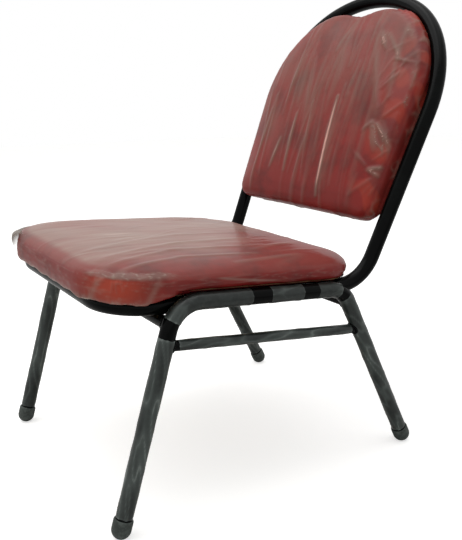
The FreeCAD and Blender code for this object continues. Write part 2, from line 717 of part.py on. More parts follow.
def make_back():
    """The back pad inside the hoop: rear panel, cover, board and foam, with its fasteners and tabs."""
    gap = size("layer_gap")
    skin = size("cover_thickness")
    panel_base = -size("back_set")
    base = panel_base + size("panel_thickness") + gap
    edge = size("back_edge")
    board_base = base + skin + gap
    board_top = board_base + size("board_thickness")
    board_inset = size("drawn_in") + skin + gap
    spots = back_screw_spots()
    nut_spots = [spot + hoop_front * (board_top + gap) for spot in spots]
    screw_hole = "(sizes.screw_diameter + sizes.screw_room) / 2"

    panel = slab("back_panel_blank", back_outline, size("panel_margin"), panel_base,
                 "sizes.panel_thickness", hoop_front)
    node(drill("back_panel_drilled", panel, spots, hoop_front, screw_hole), "back_rear_panel")

    outer = pad_solid("back_outer", back_outline, base, edge, size("back_crown"), 0.0)
    inner = pad_solid("back_inner", back_outline, base, edge, size("back_crown"), skin)
    window = slab("back_window", back_outline, size("drawn_in") + size("cover_hem"), base - skin,
                  "3 * sizes.cover_thickness", hoop_front)
    node(cut("back_skin", cut("back_shell", outer, inner), window), "back_cover")

    board = slab("back_blank", back_outline, board_inset, board_base, "sizes.board_thickness", hoop_front)
    node(drill("back_drilled", board, spots, hoop_front, "sizes.nut_barrel_diameter / 2 + sizes.layer_gap"),
         "back_board")

    fill = pad_solid("back_fill", back_outline, base, edge, size("back_crown"), skin + gap)
    below = slab("back_below", back_outline, board_inset - gap, base - skin,
                 "sizes.board_thickness + 2 * sizes.cover_thickness + 2 * sizes.layer_gap", hoop_front)
    pockets = nut_pockets("back", nut_spots, hoop_front)
    node(cut("back_stuffing", cut("back_upper", fill, below), pockets), "back_foam")

    node(tee_nuts("back_nuts", nut_spots, hoop_front), "back_tee_nuts")
    tab_base = panel_base - gap - size("tab_thickness")
    heads = [spot + hoop_front * tab_base for spot in spots]
    tips = [spot + hoop_front * board_top for spot in spots]
    node(screws("back_bolts", heads, tips, hoop_front), "back_screws")

    tabs = [back_tab(number, spot, tab_base) for number, spot in enumerate(spots, start=1)]
    node(group("back_tabs", tabs), "back_pad_tabs")


def back_tab(number, spot, tab_base):
    """A flat tab with a round end, coped to the upright that it is welded to."""
    local = hoop_place.inverse().multVec(spot)
    side = math.copysign(1, local.x)
    low = on_hoop(side * ring_half_width(hoop_foot.y), 0)
    upright = on_hoop(side * upright_half_width(local.y), local.y)
    strap = doc.addObject("Part::Box", f"tab_strap_{number}")
    bind(strap, Length="sizes.tab_reach", Width="sizes.tab_width", Height="sizes.tab_thickness")
    inner_end = min(local.x, local.x + side * size("tab_reach"))
    corner = Vector(inner_end, local.y - size("tab_width") / 2, tab_base)
    strap.Placement = hoop_place.multiply(Placement(corner, Rotation()))
    end = rod(f"tab_end_{number}", spot + hoop_front * tab_base, hoop_front, "sizes.tab_width / 2",
              "sizes.tab_thickness")
    whole = doc.addObject("Part::Fuse", f"tab_whole_{number}")
    whole.Base = strap
    whole.Tool = end
    space = rod(f"tab_cope_{number}", low, upright - low, "sizes.tube_diameter / 2 + sizes.weld_gap",
                "sizes.hoop_rise")
    hole = rod(f"tab_hole_{number}", spot - hoop_front * size("tube_diameter"), hoop_front,
               "(sizes.screw_diameter + sizes.screw_room) / 2", "2 * sizes.tube_diameter")
    return cut(f"tab_{number}", whole, group(f"tab_cuts_{number}", [space, hole]))


make_main_tube()
for side_name in SIDES:
    make_leg_frame(side_name)
for end_name in ENDS:
    make_cross_tube(end_name)
    for side_name in SIDES:
        make_foot(end_name, side_name)
make_seat()
make_back()
doc.recompute()

for feature in doc.Objects:
    if "Invalid" in feature.State or "Error" in feature.State:
        raise RuntimeError(f"{feature.Name} failed: {feature.State}")
for feature in nodes:
    if feature.Shape.isNull() or not feature.Shape.isValid():
        raise RuntimeError(f"{feature.Label} has no valid shape")

os.makedirs("parts", exist_ok=True)
for feature in nodes:
    feature.Shape.exportStep(f"parts/{feature.Label}.step")
    print(f"{feature.Label}: {len(feature.Shape.Solids)} solid(s), {feature.Shape.Volume / 1000:.1f} cm3")
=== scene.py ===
import logging
import math
from collections.abc import Callable
from dataclasses import dataclass, field
from enum import Enum
from typing import Any

import bpy
import numpy as np
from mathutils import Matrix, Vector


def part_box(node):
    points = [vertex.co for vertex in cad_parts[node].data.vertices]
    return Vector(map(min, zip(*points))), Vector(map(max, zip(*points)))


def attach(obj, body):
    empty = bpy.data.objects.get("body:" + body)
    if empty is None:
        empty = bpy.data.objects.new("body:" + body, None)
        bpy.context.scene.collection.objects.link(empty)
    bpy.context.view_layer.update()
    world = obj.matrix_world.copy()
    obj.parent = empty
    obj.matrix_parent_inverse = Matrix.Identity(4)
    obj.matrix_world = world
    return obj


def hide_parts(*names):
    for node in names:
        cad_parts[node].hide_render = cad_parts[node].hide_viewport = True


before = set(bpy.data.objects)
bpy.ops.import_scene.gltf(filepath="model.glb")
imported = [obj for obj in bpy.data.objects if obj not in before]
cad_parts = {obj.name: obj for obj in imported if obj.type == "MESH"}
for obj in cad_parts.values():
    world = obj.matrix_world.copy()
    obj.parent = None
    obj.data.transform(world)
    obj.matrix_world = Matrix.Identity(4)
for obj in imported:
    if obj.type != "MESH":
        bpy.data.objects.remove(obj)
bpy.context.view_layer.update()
log = logging.getLogger("visitor_chair")

Array = np.ndarray
Tree = bpy.types.NodeTree
Socket = bpy.types.NodeSocket
Inputs = dict[str, Any]
MM = 0.001
WHITE = (1.0, 1.0, 1.0, 1.0)


class Side(Enum):
    """The chair's left and right side, by the sign of X."""

    LEFT = -1
    RIGHT = 1


class End(Enum):
    """The chair's front and rear, by the sign of Y."""

    FRONT = -1
    REAR = 1


# Colours, nodes and meshes

def linear(colour: str) -> tuple[float, float, float, float]:
    """Turn an sRGB hex colour into linear values.

    Args:
        colour: six hex digits after a hash.

    Returns:
        Linear red, green and blue, and an alpha of 1.
    """
    parts = [int(colour[place:place + 2], 16) / 255 for place in (1, 3, 5)]
    # The sRGB curve: a short straight start and then a power
    return (*(part / 12.92 if part <= 0.04045 else ((part + 0.055) / 1.055) ** 2.4 for part in parts), 1.0)


def per_mm(length: float) -> float:
    """The scale of a texture whose pattern repeats about every so many millimetres."""
    return 1 / (length * MM)


def add(tree: Tree, kind: str, settings: dict[str, Any] | None = None,
        inputs: dict[str | int, Any] | None = None) -> bpy.types.Node:
    """Add a shader node with its settings, input values and links.

    Args:
        tree: the node tree that takes the node.
        kind: the node's type after "ShaderNode".
        settings: the node's own properties.
        inputs: by socket name or number, a value to set or an output socket to link.

    Returns:
        The new node.
    """
    node = tree.nodes.new("ShaderNode" + kind)
    for name, value in (settings or {}).items():
        setattr(node, name, value)
    for name, value in (inputs or {}).items():
        if isinstance(value, Socket):
            tree.links.new(value, node.inputs[name])
        else:
            node.inputs[name].default_value = value
    return node


def grid_faces(rows: int, columns: int, closed: bool = True, looped: bool = False, first: int = 0) -> Array:
    """Quads between neighbouring rows and columns of a grid of points.

    Args:
        rows: number of rows.
        columns: number of points in a row.
        closed: whether the last column joins the first one.
        looped: whether the last row joins the first one.
        first: number of the grid's first point.

    Returns:
        Point numbers, four to a face.
    """
    row = np.arange(rows if looped else rows - 1)[:, None]
    column = np.arange(columns if closed else columns - 1)[None, :]
    next_row, next_column = (row + 1) % rows, (column + 1) % columns
    corners = np.stack([row * columns + column, row * columns + next_column, next_row * columns + next_column,
                        next_row * columns + column], axis=-1)
    return corners.reshape(-1, 4) + first


def new_piece(name: str, points: Array, faces: list[list[int]] | Array,
              material: bpy.types.Material) -> bpy.types.Object:
    """Make a smooth-shaded mesh object whose place is in its mesh.

    Args:
        name: the piece's name.
        points: coordinates in metres, in any grid shape.
        faces: point numbers of each face.
        material: its finish.

    Returns:
        The object, linked to the scene.
    """
    mesh = bpy.data.meshes.new(name)
    corners = faces.tolist() if isinstance(faces, Array) else faces
    mesh.from_pydata(points.reshape(-1, 3).tolist(), [], corners)
    mesh.shade_smooth()
    mesh.materials.append(material)
    piece = bpy.data.objects.new(name, mesh)
    bpy.context.scene.collection.objects.link(piece)
    return piece


def read_points(mesh: bpy.types.Mesh, what: str = "co") -> Array:
    """A mesh's vertex coordinates or normals as one array.

    Args:
        mesh: the mesh.
        what: co or normal.

    Returns:
        One row of three numbers for each vertex.
    """
    values = np.empty(len(mesh.vertices) * 3)
    mesh.vertices.foreach_get(what, values)
    return values.reshape(-1, 3)


def write_attribute(mesh: bpy.types.Mesh, name: str, values: Array) -> None:
    """Store one number for each vertex, for a material to read.

    Args:
        mesh: the mesh.
        name: the attribute's name.
        values: one number for each vertex.
    """
    mesh.attributes.new(name, "FLOAT", "POINT").data.foreach_set("value", values.astype(np.float32))


def spread(mesh: bpy.types.Mesh, values: Array, rounds: int) -> Array:
    """Even out values: each round takes half of a point's value and half of its neighbours' mean.

    Args:
        mesh: the mesh, whose edges join neighbours.
        values: one number for each of its points.
        rounds: how often.

    Returns:
        The evened values.
    """
    ends = np.empty(2 * len(mesh.edges), dtype=np.int32)
    mesh.edges.foreach_get("vertices", ends)
    first, second = ends.reshape(-1, 2).T
    count = np.bincount(ends, minlength=len(values))
    for _ in range(rounds):
        total = np.bincount(first, values[second], len(values))
        total += np.bincount(second, values[first], len(values))
        values = 0.5 * values + 0.5 * total / np.maximum(count, 1)
    return values


def smooth_step(low: float, high: float, values: Array) -> Array:
    """Rise smoothly from 0 at low to 1 at high."""
    share = np.clip((values - low) / (high - low), 0.0, 1.0)
    return share * share * (3 - 2 * share)


def crumple(points: Array, size: float, seed: int, waves: int = 18) -> Array:
    """Even noise as a sum of plane waves with random directions, each bent a little by a slower one.

    Args:
        points: places in metres, with any number of coordinates.
        size: typical distance from crest to crest.
        seed: picks the waves.
        waves: how many there are.

    Returns:
        One number for each point, with a mean of 0 and a spread of about 1.
    """
    chance = np.random.default_rng(seed)
    directions = chance.normal(size=(waves, points.shape[-1]))
    directions /= np.linalg.norm(directions, axis=1, keepdims=True)
    turns = 2 * math.pi / (size * chance.uniform(0.7, 1.6, waves))
    phases = chance.uniform(0, 2 * math.pi, waves)
    bend = 0.9 * np.sin(points @ directions[::-1].T * turns / 3 + phases)
    return np.cos(points @ directions.T * turns + phases + bend).sum(-1) * math.sqrt(2 / waves)


def crests(noise: Array, width: float) -> Array:
    """Ridges of a noise: 1 where it crosses 0, falling evenly to 0 where it is a width away from that."""
    return np.clip(1 - np.abs(noise) / width, 0, 1)


def bell(offset: Array, width: float) -> Array:
    """A bell: 1 at no offset, falling off over a width by the square's exponential."""
    return np.exp(-(offset / width) ** 2)


# Finishes

# A Mix node's colour sockets go by number, because their names repeat on it
COLOURS = {"data_type": "RGBA"}
SHARE, FIRST, SECOND, MIXED = 0, 6, 7, 2


@dataclass(frozen=True)
class Finish:
    """A finish of the chair or its studio. Each kind works out the inputs of its shaded surface."""

    name: str

    def surface(self, tree: Tree, place: Socket) -> Inputs:
        """What the surface looks like, which each kind of finish says.

        Args:
            tree: the material's nodes.
            place: Object coordinates.

        Returns:
            A value or an output socket for each input of the surface.
        """
        raise NotImplementedError

    def material(self) -> bpy.types.Material:
        """Make the material: the finish's surface, patterned on Object coordinates.

        Returns:
            The new material.
        """
        material = bpy.data.materials.new(self.name)
        material.use_nodes = True
        tree = material.node_tree
        tree.nodes.clear()
        place = add(tree, "TexCoord").outputs["Object"]
        shaded = add(tree, "BsdfPrincipled", None, self.surface(tree, place))
        add(tree, "OutputMaterial", None, {"Surface": shaded.outputs["BSDF"]})
        return material


@dataclass(frozen=True)
class BlackEnamel(Finish):
    """Black stoved enamel on steel tube: a deep gloss with a faint orange peel and some dust."""

    name: str = "black_enamel"
    body: str = "#030404"
    dust: str = "#0f1211"
    peel_mm: float = 4.0
    dust_mm: float = 55.0

    def surface(self, tree: Tree, place: Socket) -> Inputs:
        """Dust clouds in colour and gloss, and the peel as bump.

        Args:
            tree: the material's nodes.
            place: Object coordinates.

        Returns:
            The surface's inputs.
        """
        cloud = add(tree, "TexNoise", None, {
            "Vector": place, "Scale": per_mm(self.dust_mm), "Detail": 6.0, "Roughness": 0.65}).outputs["Fac"]
        dusty = add(tree, "MapRange", None, {
            "Value": cloud, "From Min": 0.48, "From Max": 0.8, "To Max": 0.7}).outputs["Result"]
        colour = add(tree, "Mix", COLOURS, {
            SHARE: dusty, FIRST: linear(self.body), SECOND: linear(self.dust)}).outputs[MIXED]
        gloss = add(tree, "MapRange", None, {
            "Value": cloud, "From Min": 0.3, "From Max": 0.75, "To Min": 0.14,
            "To Max": 0.32}).outputs["Result"]
        peel = add(tree, "TexNoise", None, {
            "Vector": place, "Scale": per_mm(self.peel_mm), "Detail": 2.0}).outputs["Fac"]
        bump = add(tree, "Bump", None, {
            "Strength": 0.12, "Distance": 0.4 * MM, "Height": peel}).outputs["Normal"]
        return {"Base Color": colour, "Roughness": gloss, "Normal": bump, "IOR": 1.5,
                "Specular IOR Level": 0.06}


@dataclass(frozen=True)
class MouldedRubber(Finish):
    """Moulded dark rubber: matt, greyed by handling and scuffed paler in patches."""

    name: str = "moulded_rubber"
    body: str = "#343a37"
    scuff: str = "#59605c"
    scuff_mm: float = 14.0
    grit_mm: float = 0.9

    def surface(self, tree: Tree, place: Socket) -> Inputs:
        """Scuffs in colour and roughness over a fine grit.

        Args:
            tree: the material's nodes.
            place: Object coordinates.

        Returns:
            The surface's inputs.
        """
        patch = add(tree, "TexNoise", None, {
            "Vector": place, "Scale": per_mm(self.scuff_mm), "Detail": 5.0, "Roughness": 0.7}).outputs["Fac"]
        worn = add(tree, "MapRange", None, {
            "Value": patch, "From Min": 0.42, "From Max": 0.72}).outputs["Result"]
        colour = add(tree, "Mix", COLOURS, {
            SHARE: worn, FIRST: linear(self.body), SECOND: linear(self.scuff)}).outputs[MIXED]
        grit = add(tree, "TexNoise", None, {
            "Vector": place, "Scale": per_mm(self.grit_mm), "Detail": 3.0}).outputs["Fac"]
        bump = add(tree, "Bump", None, {
            "Strength": 0.3, "Distance": 0.2 * MM, "Height": grit}).outputs["Normal"]
        rough = add(tree, "MapRange", None, {"Value": patch, "To Min": 0.45, "To Max": 0.8}).outputs["Result"]
        return {"Base Color": colour, "Roughness": rough, "Normal": bump, "IOR": 1.52,
                "Specular IOR Level": 0.3}


@dataclass(frozen=True)
class FilmedVinyl(Finish):
    """Red leathercloth under clear packing film: deep red, with the film's gloss and milky folds on top.

    The piece's haze attribute says how milky the film is: 0 where it clings and 1 on a loose fold. Over 0.9
    it is a painted highlight in the glint colour, and the milk colour is partly a painted reflection of the
    bright room. Its painted_glow attribute is painted light: it says where light that is thrown back and
    forth under tight film makes the red glow.
    """

    name: str = "red_vinyl_under_loose_film"
    red: str = "#7e1917"
    deep: str = "#5c1010"
    painted_glow_red: str = "#b03a22"
    milk_and_reflection: str = "#9e8579"
    painted_glint: str = "#e8c9bc"
    # Leathercloth grain is about 0.8 mm and is drawn at 2 mm, so that a render from across a room shows it
    grain_mm: float = 2.0
    patch_mm: float = 70.0
    crease_mm: float = 27.0

    def surface(self, tree: Tree, place: Socket) -> Inputs:
        """Patchy red, mixed towards a painted glow by painted_glow and towards milk and painted highlights by
        haze, under a coat of film.

        Args:
            tree: the material's nodes.
            place: Object coordinates.

        Returns:
            The surface's inputs.
        """
        haze = add(tree, "Attribute", {"attribute_name": "haze"}).outputs["Fac"]
        patch = add(tree, "TexNoise", None, {
            "Vector": place, "Scale": per_mm(self.patch_mm), "Detail": 5.0, "Roughness": 0.6}).outputs["Fac"]
        low = add(tree, "MapRange", None, {
            "Value": patch, "From Min": 0.3, "From Max": 0.55}).outputs["Result"]
        # Painted glow: the red lit up where light is thrown back and forth under the film
        painted_glow = add(tree, "Attribute", {"attribute_name": "painted_glow"}).outputs["Fac"]
        ground = add(tree, "Mix", COLOURS, {
            SHARE: low, FIRST: linear(self.deep), SECOND: linear(self.red)}).outputs[MIXED]
        red_with_painted_glow = add(tree, "Mix", COLOURS, {
            SHARE: painted_glow, FIRST: ground, SECOND: linear(self.painted_glow_red)}).outputs[MIXED]
        # The milk colour is milky film, and on the seat's top and the back's upper part also a painted
        # reflection of the bright room
        milk_and_reflection_share = add(tree, "MapRange", None, {"Value": haze, "From Max": 0.9, "To Max": 0.9}).outputs["Result"]
        clouded = add(tree, "Mix", COLOURS, {
            SHARE: milk_and_reflection_share, FIRST: red_with_painted_glow, SECOND: linear(self.milk_and_reflection)}).outputs[MIXED]
        # Haze over 0.9 turns to the glint colour: a painted highlight along loose folds
        painted_highlight = add(tree, "MapRange", None, {
            "Value": haze, "From Min": 0.9, "From Max": 1.4, "To Max": 0.9}).outputs["Result"]
        colour = add(tree, "Mix", COLOURS, {
            SHARE: painted_highlight, FIRST: clouded, SECOND: linear(self.painted_glint)}).outputs[MIXED]
        grain = add(tree, "TexVoronoi", {"feature": "SMOOTH_F1"}, {
            "Vector": place, "Scale": per_mm(self.grain_mm)}).outputs["Distance"]
        pebbles = add(tree, "Bump", None, {
            "Strength": 0.15, "Distance": 0.25 * MM, "Height": grain}).outputs["Normal"]
        crease = add(tree, "TexNoise", {"noise_type": "RIDGED_MULTIFRACTAL"}, {
            "Vector": place, "Scale": per_mm(self.crease_mm), "Detail": 3.0, "Roughness": 0.5}).outputs["Fac"]
        film = add(tree, "Bump", None, {
            "Strength": 0.25, "Distance": 0.8 * MM, "Height": crease, "Normal": pebbles}).outputs["Normal"]
        return {"Base Color": colour, "Roughness": 0.42, "Normal": film, "IOR": 1.48,
                "Specular IOR Level": 0.12, "Coat Weight": 0.15, "Coat Roughness": 0.12, "Coat IOR": 1.49}


@dataclass(frozen=True)
class Leathercloth(Finish):
    """Plain red leathercloth, as it shows on the rear panel and the hems: pebbled, half matt."""

    name: str = "red_leathercloth"
    red: str = "#781c1f"
    deep: str = "#561215"
    # Drawn at 2 mm for the same reason as under the film
    grain_mm: float = 2.0
    patch_mm: float = 90.0

    def surface(self, tree: Tree, place: Socket) -> Inputs:
        """Painted shade in the valleys between the pebbles, with slow patches of wear.

        Args:
            tree: the material's nodes.
            place: Object coordinates.

        Returns:
            The surface's inputs.
        """
        grain = add(tree, "TexVoronoi", {"feature": "SMOOTH_F1"}, {
            "Vector": place, "Scale": per_mm(self.grain_mm)}).outputs["Distance"]
        patch = add(tree, "TexNoise", None, {
            "Vector": place, "Scale": per_mm(self.patch_mm), "Detail": 6.0, "Roughness": 0.62}).outputs["Fac"]
        # Painted shade: the valleys between pebbles darken, added to the patches of wear
        valley_shade_and_wear = add(tree, "Math", {"operation": "MULTIPLY_ADD"}, {0: grain, 1: 0.5, 2: patch}).outputs[0]
        worn = add(tree, "MapRange", None, {
            "Value": valley_shade_and_wear, "From Min": 0.45, "From Max": 0.95}).outputs["Result"]
        colour = add(tree, "Mix", COLOURS, {
            SHARE: worn, FIRST: linear(self.red), SECOND: linear(self.deep)}).outputs[MIXED]
        rough = add(tree, "MapRange", None, {
            "Value": patch, "To Min": 0.32, "To Max": 0.58}).outputs["Result"]
        bump = add(tree, "Bump", {"invert": True}, {
            "Strength": 0.35, "Distance": 0.3 * MM, "Height": grain}).outputs["Normal"]
        return {"Base Color": colour, "Roughness": rough, "Normal": bump, "IOR": 1.5,
                "Specular IOR Level": 0.3}


@dataclass(frozen=True)
class PackingFilm(Finish):
    """Grey-clear packing film wound on black tube: dark where it clings and pale grey on its creases.

    The piece's haze attribute says how pale the film is; at the top of its range the crease colour is a
    painted highlight.
    """

    name: str = "packing_film_on_tube"
    cling: str = "#1f2422"
    loose: str = "#4b524f"
    crease: str = "#7b837f"
    fleck_mm: float = 9.0

    def surface(self, tree: Tree, place: Socket) -> Inputs:
        """Haze and flecks choose between cling, loose and crease, and the gloss stays high.

        Args:
            tree: the material's nodes.
            place: Object coordinates.

        Returns:
            The surface's inputs.
        """
        haze = add(tree, "Attribute", {"attribute_name": "haze"}).outputs["Fac"]
        fleck = add(tree, "TexNoise", None, {
            "Vector": place, "Scale": per_mm(self.fleck_mm), "Detail": 4.0, "Roughness": 0.6}).outputs["Fac"]
        mixed = add(tree, "Math", {"operation": "MULTIPLY_ADD"}, {0: fleck, 1: 0.4, 2: haze}).outputs[0]
        pale = add(tree, "MapRange", None, {
            "Value": mixed, "From Min": 0.15, "From Max": 0.85}).outputs["Result"]
        # The crease colour at the top of the haze: a painted highlight on the film's folds
        painted_highlight = add(tree, "MapRange", None, {
            "Value": mixed, "From Min": 0.85, "From Max": 1.2, "To Max": 0.9}).outputs["Result"]
        ground = add(tree, "Mix", COLOURS, {
            SHARE: pale, FIRST: linear(self.cling), SECOND: linear(self.loose)}).outputs[MIXED]
        colour = add(tree, "Mix", COLOURS, {
            SHARE: painted_highlight, FIRST: ground, SECOND: linear(self.crease)}).outputs[MIXED]
        bump = add(tree, "Bump", None, {
            "Strength": 0.3, "Distance": 0.5 * MM, "Height": fleck}).outputs["Normal"]
        return {"Base Color": colour, "Roughness": 0.3, "Normal": bump, "IOR": 1.49,
                "Specular IOR Level": 0.3}


@dataclass(frozen=True)
class ClearFilm(Finish):
    """Loose clear film that stands off the pad: see-through, and milky where its haze attribute says so."""

    name: str = "loose_clear_film"
    # The film's colour where it stands off the pad in shade: painted shade
    shaded_tint: str = "#6e5a45"
    fold_mm: float = 36.0

    def surface(self, tree: Tree, place: Socket) -> Inputs:
        """Haze and fine folds set how much the film hides.

        Args:
            tree: the material's nodes.
            place: Object coordinates.

        Returns:
            The surface's inputs.
        """
        haze = add(tree, "Attribute", {"attribute_name": "haze"}).outputs["Fac"]
        fold = add(tree, "TexNoise", {"noise_type": "RIDGED_MULTIFRACTAL"}, {
            "Vector": place, "Scale": per_mm(self.fold_mm), "Detail": 3.0}).outputs["Fac"]
        alpha = add(tree, "Math", {"operation": "MULTIPLY_ADD", "use_clamp": True}, {
            0: fold, 1: 0.04, 2: haze}).outputs[0]
        bump = add(tree, "Bump", None, {
            "Strength": 0.25, "Distance": 1.0 * MM, "Height": fold}).outputs["Normal"]
        return {"Base Color": linear(self.shaded_tint), "Roughness": 0.2, "Normal": bump, "IOR": 1.49,
                "Specular IOR Level": 0.03, "Alpha": alpha}


@dataclass(frozen=True)
class Plywood(Finish):
    """Rotary-cut poplar plywood: pale brown with long soft grain along the chair's depth."""

    name: str = "poplar_plywood"
    pale: str = "#b8996b"
    brown: str = "#8a6a42"
    grain_mm: float = 6.0
    drawn_out: float = 12.0

    def surface(self, tree: Tree, place: Socket) -> Inputs:
        """Noise drawn out along Y gives the grain.

        Args:
            tree: the material's nodes.
            place: Object coordinates.

        Returns:
            The surface's inputs.
        """
        drawn = add(tree, "Mapping", None, {
            "Vector": place, "Scale": (1.0, 1 / self.drawn_out, 1.0)}).outputs["Vector"]
        grain = add(tree, "TexNoise", None, {
            "Vector": drawn, "Scale": per_mm(self.grain_mm), "Detail": 6.0, "Roughness": 0.62,
            "Distortion": 0.6}).outputs["Fac"]
        share = add(tree, "MapRange", None, {
            "Value": grain, "From Min": 0.35, "From Max": 0.68}).outputs["Result"]
        colour = add(tree, "Mix", COLOURS, {
            SHARE: share, FIRST: linear(self.pale), SECOND: linear(self.brown)}).outputs[MIXED]
        bump = add(tree, "Bump", None, {
            "Strength": 0.25, "Distance": 0.3 * MM, "Height": grain}).outputs["Normal"]
        return {"Base Color": colour, "Roughness": 0.72, "Normal": bump}


@dataclass(frozen=True)
class ZincPlate(Finish):
    """Zinc-plated steel of screws, tee nuts and staples: bright, with cloudy passivation."""

    name: str = "zinc_plated_steel"
    pale: str = "#c3c5c4"
    dull: str = "#8d9190"
    cloud_mm: float = 4.0

    def surface(self, tree: Tree, place: Socket) -> Inputs:
        """Clouds vary the colour and the roughness.

        Args:
            tree: the material's nodes.
            place: Object coordinates.

        Returns:
            The surface's inputs.
        """
        cloud = add(tree, "TexNoise", None, {
            "Vector": place, "Scale": per_mm(self.cloud_mm), "Detail": 4.0}).outputs["Fac"]
        colour = add(tree, "Mix", COLOURS, {
            SHARE: cloud, FIRST: linear(self.pale), SECOND: linear(self.dull)}).outputs[MIXED]
        rough = add(tree, "MapRange", None, {"Value": cloud, "To Min": 0.22, "To Max": 0.5}).outputs["Result"]
        return {"Base Color": colour, "Metallic": 1.0, "Roughness": rough}


@dataclass(frozen=True)
class StudioFloor(Finish):
    """A white studio sweep: matt, and lit up for the eye alone, so that it runs into the background."""

    name: str = "white_studio_floor"
    white: str = "#f2f2f0"
    speck_mm: float = 400.0
    glow: float = 0.6

    def surface(self, tree: Tree, place: Socket) -> Inputs:
        """A pale matt ground that glows where a camera ray meets it.

        Args:
            tree: the material's nodes.
            place: Object coordinates.

        Returns:
            The surface's inputs.
        """
        speck = add(tree, "TexNoise", None, {
            "Vector": place, "Scale": per_mm(self.speck_mm), "Detail": 3.0}).outputs["Fac"]
        rough = add(tree, "MapRange", None, {
            "Value": speck, "To Min": 0.85, "To Max": 0.95}).outputs["Result"]
        seen = add(tree, "LightPath").outputs["Is Camera Ray"]
        glow = add(tree, "Math", {"operation": "MULTIPLY"}, {0: seen, 1: self.glow}).outputs[0]
        return {"Base Color": linear(self.white), "Roughness": rough, "Specular IOR Level": 0.1,
                "Emission Color": WHITE, "Emission Strength": glow}


# Lines that the frame and the pads share

